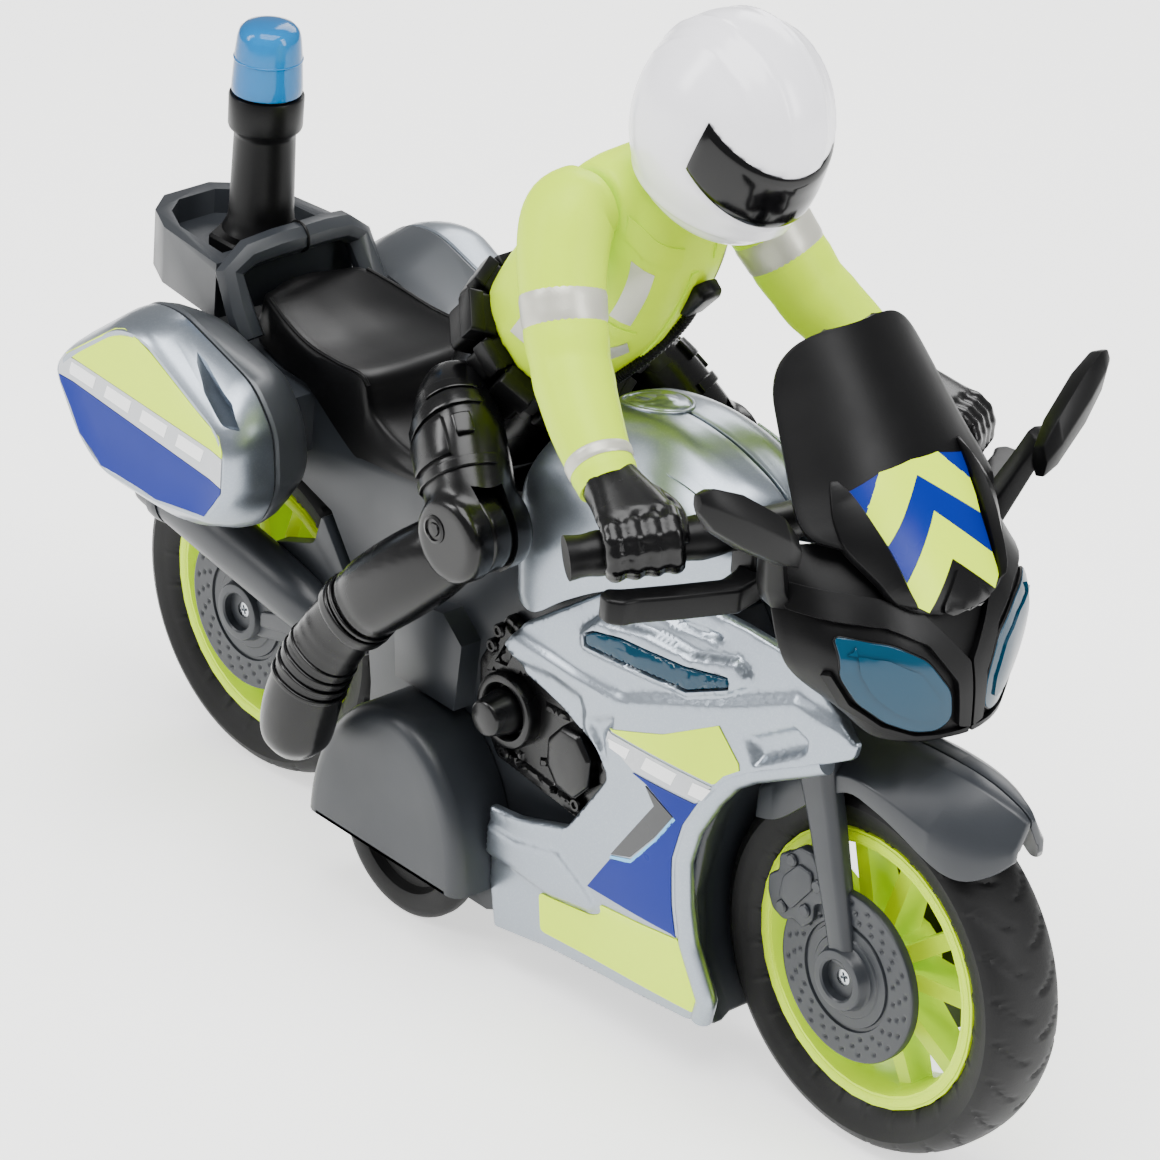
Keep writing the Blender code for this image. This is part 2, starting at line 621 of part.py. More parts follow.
def fork():
    """Fork leg moulded together with its half of the fender, the disc and the caliper."""
    leg = loft([[(x - w, y, z), (x + w, y, z), (x + w * 0.8, y - 3.4, z), (x - w * 0.8, y - 3.4, z)]
                for x, y, z, w in ((165.5, -10.4, 90.0, 6.0), (168.0, -10.4, 78.0, 5.6),
                                   (173.8, -10.4, 62.0, 4.4), (179.0, -10.4, 43.4, 3.0))])
    caliper = prism([(160, 47), (163, 43), (168, 42), (174, 50), (172, 58), (166, 60), (162, 54)],
                    -13.4, -10.7)
    return union(brake_disc(FRONT_X), fender_half(), leg, caliper)


def swingarm():
    """Rear stay moulded with its disc and the tube muffler."""
    beam = prism([(4.7, 35), (28, 41), (40.4, 46), (40.4, 56), (30, 52), (4.7, 44)],
                 -13.5, -10.4)
    bracket = prism([(12, 61), (25, 66), (27, 73.5), (38.5, 58.5), (33, 50), (24, 50)],
                    -16.2, -12.6)
    muffler = limb([((-24, -19.2, 61), 4.4, 5.4), ((0, -19.6, 58.5), 5.2, 6.2), ((24, -19, 54), 5.2, 6.0),
                    ((34, -17, 50), 3.4, 4.2)], 8)
    return union(brake_disc(0.0), beam, bracket, muffler)


def running_gear():
    publish_pair(fork(), "fork", "dark_grey")
    publish_pair(swingarm(), "swingarm", "dark_grey")


# ---- rider -------------------------------------------------------------------------------

def neck_point(height):
    """A point on the neck's axis, measured up from the top of the collar."""
    return (NECK[0] + height * sin(NECK_TILT), 0.0, NECK[2] + height * cos(NECK_TILT))


def rider_trunk():
    spine = [((75.0, 0, 131.0), 14.8, 14.6), ((83.0, 0, 140.0), 14.3, 16.6), ((93.5, 0, 151.0), 14.0, 17.0),
             ((101.0, 0, 161.5), 13.9, 13.6), (neck_point(-3.2), 11.5, 8.6), (neck_point(-0.2), 8.0, 6.4)]
    torso = limb(spine, 12)
    shoulders = rod(8.6, -14.0, 14.0, (SHOULDER[0], 0, SHOULDER[2]))
    post = limb([(neck_point(-6), 4.4, 4.4), (neck_point(10), 4.4, 4.4)], 10)
    publish(union(torso, shoulders, post), "rider_torso", "hi_vis")

    pelvis = loft([[(x + dx, y, z) for dx, y in ((-a, -b * 0.6), (-a * 0.6, -b), (a * 0.6, -b), (a, -b * 0.6),
                                                  (a, b * 0.6), (a * 0.6, b), (-a * 0.6, b), (-a, b * 0.6))]
                   for x, z, a, b in ((62.0, 99.4, 8.0, 11.0), (65.0, 106.0, 13.0, 14.6),
                                      (67.5, 116.0, 14.5, 14.8), (68.0, 121.5, 12.5, 14.8))])
    waist = limb([((67.0, 0, 121.0), 14.6, 13.0), ((74.6, 0, 129.8), 14.6, 14.4)], 12)
    publish(union(pelvis, waist), "rider_pelvis", "black_gloss")


def helmet():
    """Egg-shaped full-face helmet, pitched forward, with a socket for the neck."""
    rows, sides = 10, 22
    lean = radians(22)
    rings = []
    for i in range(rows + 1):
        angle = pi * i / rows
        rise, spread = cos(angle), sin(angle)
        if i in (0, rows):
            ring = [(0.0, 0.0, 23.0 * rise if rise > 0 else -20.5)]
        else:
            ring = []
            for k in range(sides):
                turn = 2 * pi * k / sides
                x = 20.4 * spread * cos(turn)
                if rise < 0 and x > 0:
                    x *= 1.0 + 0.10 * -rise
                ring.append((x, 17.2 * spread * sin(turn), 23.0 * rise if rise > 0 else 21.5 * rise))
        rings.append([(HELMET[0] + x * cos(lean) + z * sin(lean), y,
                       HELMET[2] - x * sin(lean) + z * cos(lean)) for x, y, z in ring])
    return loft(rings)


def rider_head():
    shell = helmet()
    socket = limb([(neck_point(-8), 5.6, 5.6), (neck_point(12), 5.6, 5.6)], 16)
    below_collar = limb([(neck_point(-40), 50, 50), (neck_point(GAP), 50, 50)], 4)
    shell = subtract(shell, socket, below_collar)
    lean = radians(22)

    def visor_tool(grow):
        """Band that wraps the front of the helmet, in the helmet's own leaning frame."""
        inner = [(2.0 - grow, -4.5 - grow), (30.0, -3.0 - grow), (30.0, 7.5 + grow), (2.0 - grow, 6.5 + grow)]
        tilted = [(HELMET[0] + x * cos(lean) + z * sin(lean), HELMET[2] - x * sin(lean) + z * cos(lean))
                  for x, z in inner]
        return prism(tilted, -25, 25)

    visor = subtract(intersect(duplicate(shell), visor_tool(-GAP)), shrunken_helmet(0.90))
    groove = subtract(visor_tool(0.0), shrunken_helmet(0.885))
    publish(subtract(shell, groove), "rider_helmet", "white_gloss", NECK)
    publish(visor, "rider_visor", "black_gloss", NECK)


def shrunken_helmet(factor):
    core = helmet()
    centre = Vector(HELMET)
    for vert in core.data.vertices:
        vert.co = centre + (vert.co - centre) * factor
    return core


def rider_arm():
    x, y, z = SHOULDER
    ball = turned([(0, -y), (8.6, -y), (9.2, -y - 2.5), (9.0, -y - 7), (7.6, -y - 11.5),
                   (4.5, -y - 14.5), (0, -y - 15.5)], (x, 0, z), sides=20)
    sleeve = limb([((x + 0.5, -22.8, z - 1.0), 7.6, 8.0), ((106.0, -27.4, 154.0), 7.6, 7.6),
                   ((113.5, -31.5, 144.5), 8.0, 7.6), ((122.0, -35.0, 138.0), 7.2, 7.0),
                   ((131.5, -38.0, 131.6), 6.4, 6.2)])
    return union(ball, sleeve)


def rider_hand():
    """Glove that hooks over the grip from behind and above, open below and behind."""
    cuff = limb([((132.0, -38.2, 131.2), 5.0, 4.4), ((133.6, -38.7, 130.1), 5.4, 4.2),
                 ((137, -39.4, 130.2), 6.6, 3.0), ((142.0, -40.0, 131.0), 7.0, 2.4)], 10)
    grip_point, along = Vector((142.8, -40.0, 123.3)), Vector((-0.50, -0.86, -0.12)).normalized()
    forward = Vector((0.86, -0.50, 0.0))
    up = along.cross(forward)
    up = up if up.z > 0 else -up
    hook = [(-4.0, 5.2), (-3.0, 9.0), (4.0, 8.6), (8.0, 4.6), (8.2, -1.5), (6.4, -3.3), (5.2, -2.6),
            (5.6, 2.0), (2.6, 5.2)]
    rings = [[grip_point + along * offset + forward * a + up * b for a, b in hook] for offset in (-6.8, 6.8)]
    return union(cuff, loft(rings))


def rider_leg():
    hip_x, hip_y, hip_z = HIP
    knee_x, knee_y, knee_z = KNEE
    hip_disc = turned([(0, -hip_y), (9.4, -hip_y), (10.0, -hip_y - 2.5), (9.0, -hip_y - 7), (0, -hip_y - 9)],
                      (hip_x, 0, hip_z), sides=20)
    upper = limb([((hip_x + 1, -23.2, hip_z + 1.0), 7.6, 9.4), ((77.5, -25.6, 112.5), 7.8, 9.6),
                  ((84.0, -28.6, 106.5), 8.0, 9.2), ((knee_x - 0.4, -knee_y, knee_z + 1.0), 8.0, 8.6)])
    knee = rod(9.0, -knee_y - 8.2, -knee_y + 8.2, (knee_x, 0, knee_z), sides=18)
    slot = rod(11.8, -knee_y - 3.2, -knee_y + 3.2, (knee_x, 0, knee_z), sides=20)
    thigh = subtract(union(hip_disc, upper, knee), slot)

    tongue = rod(8.6, -knee_y - 2.9, -knee_y + 2.9, (knee_x, 0, knee_z), sides=20)
    neck = limb([((knee_x - 4, -knee_y, knee_z - 4), 2.8, 4.8),
                 ((knee_x - 11, -knee_y - 0.4, knee_z - 11), 2.8, 4.8)], 8)
    lower = limb([((81.0, -31.8, 92.6), 6.8, 7.2), ((73.0, -33.2, 84.8), 7.8, 8.2),
                  ((63.6, -35.2, 75.4), 7.6, 7.8), ((56.2, -37.0, 65.2), 6.2, 6.8),
                  ((52.5, -38.6, 57.0), 6.4, 7.2), ((50.0, -39.4, 46.0), 7.0, 7.4),
                  ((49.0, -39.4, 38.0), 6.2, 6.0), ((48.8, -39.4, 35.6), 3.6, 3.6)])
    shin = union(lower, neck, tongue)
    return thigh, shin


def rider():
    rider_trunk()
    rider_head()
    shoulder = (SHOULDER[0], -SHOULDER[1], SHOULDER[2])
    publish_pair(rider_arm(), "rider_arm", "hi_vis", shoulder)
    publish_pair(rider_hand(), "rider_hand", "black_satin", shoulder)
    thigh, shin = rider_leg()
    publish_pair(thigh, "rider_thigh", "black_gloss", (HIP[0], -HIP[1], HIP[2]))
    publish_pair(shin, "rider_shin", "black_gloss", (KNEE[0], -KNEE[1], KNEE[2]))


def main():
    clear_scene()
    road_wheels()
    friction_drive()
    drive_cover()
    chassis()
    engine()
    side_fairing()
    inner_fairing()
    tank()
    seat()
    tail_rack()
    beacon()
    pannier()
    nose()
    windscreen()
    controls()
    running_gear()
    rider()


main()
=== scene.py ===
# Toy patrol motorcycle with a jointed rider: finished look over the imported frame.
# Lengths are millimetres in the motorcycle's own measure: x forward from the rear axle,
# y to its left, z up from the ground.
import json
import math
import bpy
import bmesh
import numpy as np
from mathutils import Matrix, Vector
from mathutils.bvhtree import BVHTree
from mathutils.geometry import delaunay_2d_cdt


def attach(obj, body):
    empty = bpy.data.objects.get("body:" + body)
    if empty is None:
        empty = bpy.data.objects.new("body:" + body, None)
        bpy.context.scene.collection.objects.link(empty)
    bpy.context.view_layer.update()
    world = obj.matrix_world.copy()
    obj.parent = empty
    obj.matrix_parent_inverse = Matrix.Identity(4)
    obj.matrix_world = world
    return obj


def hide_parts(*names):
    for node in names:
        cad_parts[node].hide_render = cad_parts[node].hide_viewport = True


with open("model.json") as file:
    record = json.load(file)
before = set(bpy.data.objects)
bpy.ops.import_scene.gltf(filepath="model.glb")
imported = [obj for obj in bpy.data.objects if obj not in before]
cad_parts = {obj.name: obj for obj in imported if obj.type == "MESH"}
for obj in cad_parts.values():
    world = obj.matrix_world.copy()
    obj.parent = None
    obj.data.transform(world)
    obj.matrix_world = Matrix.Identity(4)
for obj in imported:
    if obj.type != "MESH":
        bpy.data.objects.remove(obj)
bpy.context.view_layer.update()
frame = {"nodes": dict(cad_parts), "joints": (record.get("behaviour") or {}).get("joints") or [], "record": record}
record = frame["record"]
joints = {joint["name"]: joint for joint in frame["joints"]}
rearX = joints["rear_wheel_spin"]["pos_m"][0]
frontAxle = Vector(joints["front_wheel_spin"]["pos_m"])
rearAxle = Vector(joints["rear_wheel_spin"]["pos_m"])
mm = 0.001


def place(x, y, z):
    return Vector((rearX + x * mm, y * mm, z * mm))


# ---- camera, floor and light ----
camera = {"azimuth": 45.890, "elevation": 27.659, "roll": 4.3565, "distance": 1.2107,
          "target": (-0.01117, 0.00834, 0.07335), "lens": 187.4}


def addCamera(c):
    az, el, roll = (math.radians(c[k]) for k in ("azimuth", "elevation", "roll"))
    back = Vector((math.sin(az) * math.cos(el), -math.cos(az) * math.cos(el), math.sin(el)))
    right = Vector((math.cos(az), math.sin(az), 0))
    up = back.cross(right)
    right2 = right * math.cos(roll) + up * math.sin(roll)
    up2 = up * math.cos(roll) - right * math.sin(roll)
    data = bpy.data.cameras.new("camera")
    data.lens, data.sensor_width = c["lens"], 36.0
    data.clip_start, data.clip_end = 0.05, 20.0
    obj = bpy.data.objects.new("camera", data)
    spot = Vector(c["target"]) + back * c["distance"]
    obj.matrix_world = Matrix(((right2.x, up2.x, back.x, spot.x), (right2.y, up2.y, back.y, spot.y),
                               (right2.z, up2.z, back.z, spot.z), (0, 0, 0, 1)))
    bpy.context.collection.objects.link(obj)
    bpy.context.scene.camera = obj


addCamera(camera)
print("camera set")

studio = {"floorHex": "f4f4f3", "floorSize": 3.0, "worldHex": "ffffff", "worldStrength": 0.45,
          "floorGlow": 1.3}
softboxes = [  # name, place in metres, aims at, size, power in watts
    ("overhead", (0.15, -0.25, 1.30), (0, 0, 0.08), (1.0, 1.0), 28.0),
    ("leftBank", (-0.75, -0.95, 0.85), (0, 0, 0.10), (0.30, 0.9), 13.0),
    ("rightBank", (1.10, 0.35, 0.75), (0, 0, 0.10), (0.30, 0.9), 11.0),
    ("backBank", (-0.55, 1.05, 0.80), (0, 0, 0.10), (0.8, 0.6), 9.0),
]


def toLinear(hexColour):
    parts = [int(hexColour[i:i + 2], 16) / 255 for i in (0, 2, 4)]
    return [p / 12.92 if p <= 0.04045 else ((p + 0.055) / 1.055) ** 2.4 for p in parts] + [1.0]


def addNode(tree, kind, settings=None, links=None):
    node = tree.nodes.new("ShaderNode" + kind)
    for key, value in (settings or {}).items():
        if isinstance(key, str) and hasattr(node, key):
            setattr(node, key, value)
        else:
            node.inputs[key].default_value = value
    for key, source in (links or {}).items():
        tree.links.new(source, node.inputs[key])
    return node


def newMaterial(name):
    mat = bpy.data.materials.new(name)
    mat.use_nodes = True
    mat.node_tree.nodes.clear()
    return mat, mat.node_tree


def perMm(size):
    return 1.0 / (size * mm)  # texture scale for a feature of this many millimetres


def addStudio():
    mat, tree = newMaterial("seamless card floor")
    where = addNode(tree, "TexCoord").outputs["Object"]
    grain = addNode(tree, "TexNoise", {"Scale": perMm(6.0), "Detail": 2.0}, {"Vector": where})
    shade = addNode(tree, "Mix", {"data_type": "RGBA", 6: toLinear(studio["floorHex"]),
                                  7: toLinear("efefee")}, {0: grain.outputs["Fac"]})
    card = addNode(tree, "BsdfPrincipled", {"Roughness": 0.7, "Emission Strength": studio["floorGlow"],
                                            "Emission Color": toLinear(studio["floorHex"])},
                   {"Base Color": shade.outputs[2]})
    addNode(tree, "OutputMaterial", {}, {"Surface": card.outputs[0]})
    half = studio["floorSize"] / 2
    mesh = bpy.data.meshes.new("floor")
    mesh.from_pydata([(-half, -half, 0), (half, -half, 0), (half, half, 0), (-half, half, 0)], [],
                     [(0, 1, 2, 3)])
    floor = bpy.data.objects.new("floor", mesh)
    floor.data.materials.append(mat)
    bpy.context.collection.objects.link(floor)
    world = bpy.data.worlds.new("studio")
    bpy.context.scene.world = world
    world.use_nodes = True
    background = world.node_tree.nodes["Background"]
    background.inputs[0].default_value = toLinear(studio["worldHex"])
    background.inputs[1].default_value = studio["worldStrength"]
    for name, spot, aim, size, power in softboxes:
        light = bpy.data.lights.new(name, "AREA")
        light.shape, light.size, light.size_y, light.energy = "RECTANGLE", size[0], size[1], power
        obj = bpy.data.objects.new(name, light)
        obj.location = spot
        obj.rotation_euler = (Vector(aim) - Vector(spot)).to_track_quat("-Z", "Y").to_euler()
        bpy.context.collection.objects.link(obj)


addStudio()
print("studio lit")

# ---- materials ----


def moulded(name, colour, shade, roughness, grain, bump, coat=0.0, metallic=0.0, spread=0.06, paintedGlow=0.0,
            specular=0.5):
    # Moulded plastic: even colour with a faint cloud from the melt, and a fine texture from the tool. Any emission
    # set here is a painted glow in the part's own colour, not a lamp
    mat, tree = newMaterial(name)
    where = addNode(tree, "TexCoord").outputs["Object"]
    cloud = addNode(tree, "TexNoise", {"Scale": perMm(18.0), "Detail": 3.0, "Roughness": 0.55},
                    {"Vector": where})
    tool = addNode(tree, "TexNoise", {"Scale": perMm(grain), "Detail": 2.0, "Roughness": 0.6},
                   {"Vector": where})
    tint = addNode(tree, "Mix", {"data_type": "RGBA", 6: toLinear(colour), 7: toLinear(shade)},
                   {0: cloud.outputs["Fac"]})
    gloss = addNode(tree, "MapRange", {"From Min": 0.3, "From Max": 0.7, "To Min": roughness - spread,
                                       "To Max": roughness + spread}, {"Value": cloud.outputs["Fac"]})
    relief = addNode(tree, "Bump", {"Strength": bump, "Distance": 0.0002}, {"Height": tool.outputs["Fac"]})
    shader = addNode(tree, "BsdfPrincipled", {"Metallic": metallic, "Coat Weight": coat,
                                              "Coat Roughness": 0.12, "Emission Strength": paintedGlow,
                                              "Emission Color": toLinear(colour),
                                              "Specular IOR Level": specular},
                     {"Base Color": tint.outputs[2], "Roughness": gloss.outputs["Result"],
                      "Normal": relief.outputs["Normal"]})
    addNode(tree, "OutputMaterial", {}, {"Surface": shader.outputs[0]})
    return mat


def flakedSilver(name):
    # Silver-pigmented ABS: fine aluminium flakes give a metal sheen that swirls with the melt flow
    mat, tree = newMaterial(name)
    where = addNode(tree, "TexCoord").outputs["Object"]
    flake = addNode(tree, "TexVoronoi", {"Scale": perMm(0.28)}, {"Vector": where})
    flow = addNode(tree, "TexNoise", {"Scale": perMm(30.0), "Detail": 2.0, "Roughness": 0.5},
                   {"Vector": where})
    grey = addNode(tree, "SeparateColor", {}, {"Color": flake.outputs["Color"]})
    base = addNode(tree, "Mix", {"data_type": "RGBA", 6: toLinear("878f99"), 7: toLinear("939ba4")},
                   {0: flow.outputs["Fac"]})
    sparkle = addNode(tree, "Mix", {"data_type": "RGBA", 7: toLinear("a3abb3")}, {6: base.outputs[2]})
    spark = addNode(tree, "MapRange", {"From Min": 0.55, "From Max": 1.0, "To Min": 0.0, "To Max": 0.25},
                    {"Value": grey.outputs[0]})
    tree.links.new(spark.outputs["Result"], sparkle.inputs[0])
    gloss = addNode(tree, "MapRange", {"To Min": 0.28, "To Max": 0.33}, {"Value": grey.outputs[1]})
    shader = addNode(tree, "BsdfPrincipled", {"Metallic": 0.93, "Coat Weight": 0.2, "Coat Roughness": 0.10},
                     {"Base Color": sparkle.outputs[2], "Roughness": gloss.outputs["Result"]})
    addNode(tree, "OutputMaterial", {}, {"Surface": shader.outputs[0]})
    return mat


def clearBlue(name, deep, light, transmission):
    # Tinted clear polystyrene, moulded: glassy, with the colour pooling where it is thick
    mat, tree = newMaterial(name)
    where = addNode(tree, "TexCoord").outputs["Object"]
    flow = addNode(tree, "TexNoise", {"Scale": perMm(5.0), "Detail": 2.0}, {"Vector": where})
    edge = addNode(tree, "LayerWeight", {"Blend": 0.35})
    pooled = addNode(tree, "Mix", {"data_type": "RGBA", 6: toLinear(light), 7: toLinear(deep)},
                     {0: edge.outputs["Facing"]})
    relief = addNode(tree, "Bump", {"Strength": 0.06, "Distance": 0.0002}, {"Height": flow.outputs["Fac"]})
    shader = addNode(tree, "BsdfPrincipled",
                     {"Roughness": 0.12, "IOR": 1.5, "Transmission Weight": transmission,
                      "Specular IOR Level": 0.3},
                     {"Base Color": pooled.outputs[2], "Normal": relief.outputs["Normal"]})
    addNode(tree, "OutputMaterial", {}, {"Surface": shader.outputs[0]})
    return mat


def metal(name, colour, shade, roughness, grain):
    # Plated or turned metal: fine scratches break up the reflection
    mat, tree = newMaterial(name)
    where = addNode(tree, "TexCoord").outputs["Object"]
    fine = addNode(tree, "TexNoise", {"Scale": perMm(grain), "Detail": 3.0}, {"Vector": where})
    tint = addNode(tree, "Mix", {"data_type": "RGBA", 6: toLinear(colour), 7: toLinear(shade)},
                   {0: fine.outputs["Fac"]})
    gloss = addNode(tree, "MapRange", {"To Min": roughness - 0.08, "To Max": roughness + 0.12},
                    {"Value": fine.outputs["Fac"]})
    shader = addNode(tree, "BsdfPrincipled", {"Metallic": 1.0},
                     {"Base Color": tint.outputs[2], "Roughness": gloss.outputs["Result"]})
    addNode(tree, "OutputMaterial", {}, {"Surface": shader.outputs[0]})
    return mat


finish = {
    "satinBlack": moulded("satin black ABS, spark-eroded mould", "080809", "060607", 0.38, 0.45, 0.05,
                          specular=0.17),
    "glossBlack": moulded("gloss black ABS, polished mould", "050506", "040405", 0.25, 1.2, 0.04,
                          specular=0.32),
    "visorBlack": moulded("black polystyrene visor, mirror-polished mould", "060607", "040405", 0.13, 4.0,
                          0.02,
                          spread=0.02, specular=0.3),
    "gunGrey": moulded("dark grey ABS, fine satin mould", "272a2e", "22252a", 0.38, 0.4, 0.05, specular=0.4),
    "caseGrey": moulded("grey silver ABS, satin mould", "46494d", "404347", 0.34, 0.5, 0.05, metallic=0.3),
    "silver": flakedSilver("silver-pigmented ABS, moulded"),
    # Fluorescent yellow: its faint emission is a painted glow standing in for the real extra brightness of
    # fluorescent pigment
    "neonABS": moulded("fluorescent yellow ABS, moulded", "c6e800", "bcde00", 0.32, 0.6, 0.04, paintedGlow=0.16,
                       specular=0.2),
    # The same painted glow on the fluorescent jacket
    "neonCoat": moulded("fluorescent yellow PVC jacket, moulded", "c4e600", "badc00", 0.46, 0.35, 0.12,
                        paintedGlow=0.14, specular=0.2),
    "whiteGloss": moulded("white ABS, polished mould", "f4f3f8", "efeef4", 0.22, 2.0, 0.03, coat=0.25,
                          spread=0.03),
    "tyreBlack": moulded("tyre black PVC, matt mould", "0b0b0c", "09090a", 0.55, 0.35, 0.15, specular=0.25),
    "strapGrey": moulded("reflective tape, silver pad print", "c3c2b6", "b3b2a6", 0.38, 0.5, 0.15,
                         metallic=0.35),
    # The same painted glow on the fluorescent yellow label film
    "labelYellow": moulded("fluorescent yellow vinyl label, gloss film", "d2f200", "caea00", 0.32, 1.5, 0.02,
                           paintedGlow=0.18, specular=0.2),
    "labelBlue": moulded("royal blue vinyl label, gloss film", "041f80", "031c76", 0.32, 1.5, 0.02,
                         specular=0.15),
    "labelGrey": moulded("pale grey vinyl label, gloss film", "b9bcc0", "b2b5b9", 0.30, 1.5, 0.02, coat=0.2),
    "labelWhite": moulded("white vinyl label, gloss film", "f1f1f2", "ebebec", 0.30, 1.5, 0.02, coat=0.2),
    "labelBlack": moulded("black vinyl label, gloss film", "17191d", "131519", 0.28, 1.5, 0.02, coat=0.2),
    "labelSky": moulded("light blue vinyl label, gloss film", "5fb4e6", "55aade", 0.30, 1.5, 0.02, coat=0.2),
    "lensBlue": clearBlue("blue clear polystyrene lens", "021a26", "083c53", 0.10),
    "beaconBlue": clearBlue("blue clear polystyrene cap", "003a66", "0070b0", 0.1),
    "zincPlate": metal("zinc-plated steel, tumbled", "c9cdd0", "a9adb2", 0.28, 0.5),
    "turnedBrass": metal("brass, turned", "c9a55c", "b3904b", 0.32, 0.4),
    "boardGreen": moulded("green solder mask on fibreglass board", "1d5a35", "174c2c", 0.35, 0.8, 0.1),
}
slotFinish = {"black_satin": "satinBlack", "black_gloss": "glossBlack", "dark_grey": "gunGrey",
              "silver_paint": "silver", "hi_vis": "neonABS", "white_gloss": "whiteGloss",
              "blue_clear": "lensBlue", "rubber": "tyreBlack", "zinc": "zincPlate", "brass": "turnedBrass",
              "green_board": "boardGreen"}
nodeSlot = {entry["node"]: entry["material_slot"] for entry in record["subparts"]}
for nodeName, obj in frame["nodes"].items():
    obj.data.materials.clear()
    obj.data.materials.append(finish[slotFinish[nodeSlot[nodeName]]])
print("materials mixed")

# ---- mesh helpers ----


def settle(obj, look, body, replaced=(), smooth=35):
    for key in ([look] if isinstance(look, str) else look):
        obj.data.materials.append(finish[key])
    obj.data.shade_smooth()
    obj.data.set_sharp_from_angle(angle=math.radians(smooth))
    if replaced:
        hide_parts(*replaced)
    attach(obj, body)
    return obj


def linked(name, mesh):
    obj = bpy.data.objects.new(name, mesh)
    bpy.context.collection.objects.link(obj)
    return obj


def solid(name, verts, faces):
    # Mesh object from millimetre points, doubles merged and faces turned outwards
    mesh = bpy.data.meshes.new(name)
    mesh.from_pydata([place(*v) for v in verts], [], faces)
    bm = bmesh.new()
    bm.from_mesh(mesh)
    bmesh.ops.remove_doubles(bm, verts=bm.verts, dist=1e-6)
    bmesh.ops.recalc_face_normals(bm, faces=bm.faces)
    bm.to_mesh(mesh)
    bm.free()
    return linked(name, mesh)


def applied(obj):
    # Turns the modifiers into plain mesh
    graph = bpy.context.evaluated_depsgraph_get()
    mesh = bpy.data.meshes.new_from_object(obj.evaluated_get(graph))
    obj.modifiers.clear()
    obj.data = mesh
    return obj


def cadCopy(name, nodes):
    bm = bmesh.new()
    for node in nodes:
        bm.from_mesh(frame["nodes"][node].data)
    bmesh.ops.remove_doubles(bm, verts=bm.verts, dist=2e-6)
    bmesh.ops.dissolve_limit(bm, angle_limit=math.radians(1.0), verts=bm.verts, edges=bm.edges)
    mesh = bpy.data.meshes.new(name)
    bm.to_mesh(mesh)
    bm.free()
    return linked(name, mesh)


def softened(name, nodes, look, body, radius=0.5, segments=2, angle=30):
    # A frame node with its moulded edges rounded
    obj = cadCopy(name, nodes)
    bevel = obj.modifiers.new("edges", "BEVEL")
    bevel.width, bevel.segments, bevel.limit_method = radius * mm, segments, "ANGLE"
    bevel.angle_limit = math.radians(angle)
    bevel.use_clamp_overlap = True
    applied(obj)
    return settle(obj, look, body, nodes, 40)


def tube(name, path, radius, sides=10, closed=False):
    # Round bead along a path of millimetre points; radius may change from point to point
    points = [Vector(p) for p in path]
    radii = radius if isinstance(radius, (list, tuple)) else [radius] * len(points)
    rings, side = [], None
    count = len(points)
    for k, point in enumerate(points):
        ahead = points[(k + 1) % count] if closed else points[min(k + 1, count - 1)]
        behind = points[k - 1] if closed else points[max(k - 1, 0)]
        along = (ahead - behind).normalized()
        if side is None:
            side = along.orthogonal().normalized()
        side = (side - along * side.dot(along)).normalized()
        across = along.cross(side)
        rings.append([point + (side * math.cos(t) + across * math.sin(t)) * radii[k]
                      for t in (2 * math.pi * n / sides for n in range(sides))])
    return loft(name, rings, closed)


def loft(name, rings, closed=False, caps=True):
    verts = [tuple(v) for ring in rings for v in ring]
    sides, count = len(rings[0]), len(rings)
    faces = []
    for k in range(count if closed else count - 1):
        a, b = k * sides, ((k + 1) % count) * sides
        faces += [(a + n, a + (n + 1) % sides, b + (n + 1) % sides, b + n) for n in range(sides)]
    if caps and not closed:
        faces += [tuple(range(sides)), tuple(range((count - 1) * sides, count * sides))]
    return solid(name, verts, faces)


def turned(name, profile, centre, axis, sides=48):
    # Solid of revolution; profile is (radius, distance along the axis), closed at both ends
    rings = []
    for radius, along in profile:
        ring = []
        for n in range(sides):
            t = 2 * math.pi * n / sides
            u, v = max(radius, 0.001) * math.cos(t), max(radius, 0.001) * math.sin(t)
            offset = {"x": (along, u, v), "y": (u, along, v), "z": (u, v, along)}[axis]
            ring.append(Vector(centre) + Vector(offset))
        rings.append(ring)
    return loft(name, rings)


def spline(points, steps):
    # Smooth curve through the points, Catmull-Rom
    pts = [np.array(p, float) for p in points]
    pts = [2 * pts[0] - pts[1]] + pts + [2 * pts[-1] - pts[-2]]
    out = []
    for k in range(1, len(pts) - 2):
        a, b, c, d = pts[k - 1:k + 3]
        for n in range(steps):
            t = n / steps
            out.append(0.5 * (2 * b + (c - a) * t + (2 * a - 5 * b + 4 * c - d) * t * t
                              + (3 * b - a - 3 * c + d) * t ** 3))
    return out + [pts[-2]]


def columnsLoft(name, stations, steps, closed=False):
    # Loft that is smooth along its length but keeps straight facets round each section
    columns = [spline(list(column), steps) for column in zip(*stations)]
    return loft(name, [[tuple(q) for q in ring] for ring in zip(*columns)], closed)


def smoothGrid(rows, across, along):
    # Finer, smooth rows of points from a coarse grid
    finer = [spline(row, across) for row in rows]
    columns = [spline([row[k] for row in finer], along) for k in range(len(finer[0]))]
    return [[columns[k][n] for k in range(len(columns))] for n in range(len(columns[0]))]


def skin(name, rows, thickness, inward=-1.0):
    # Sheet through rows of points, given a wall
    verts = [tuple(p) for row in rows for p in row]
    width = len(rows[0])
    faces = [(r * width + c, r * width + c + 1, (r + 1) * width + c + 1, (r + 1) * width + c)
             for r in range(len(rows) - 1) for c in range(width - 1)]
    obj = solid(name, verts, faces)
    wall = obj.modifiers.new("wall", "SOLIDIFY")
    wall.thickness, wall.offset = thickness * mm, inward
    return applied(obj)


def bevelled(obj, radius, segments=2, angle=35):
    bevel = obj.modifiers.new("edges", "BEVEL")
    bevel.width, bevel.segments, bevel.limit_method = radius * mm, segments, "ANGLE"
    bevel.angle_limit = math.radians(angle)
    return applied(obj)


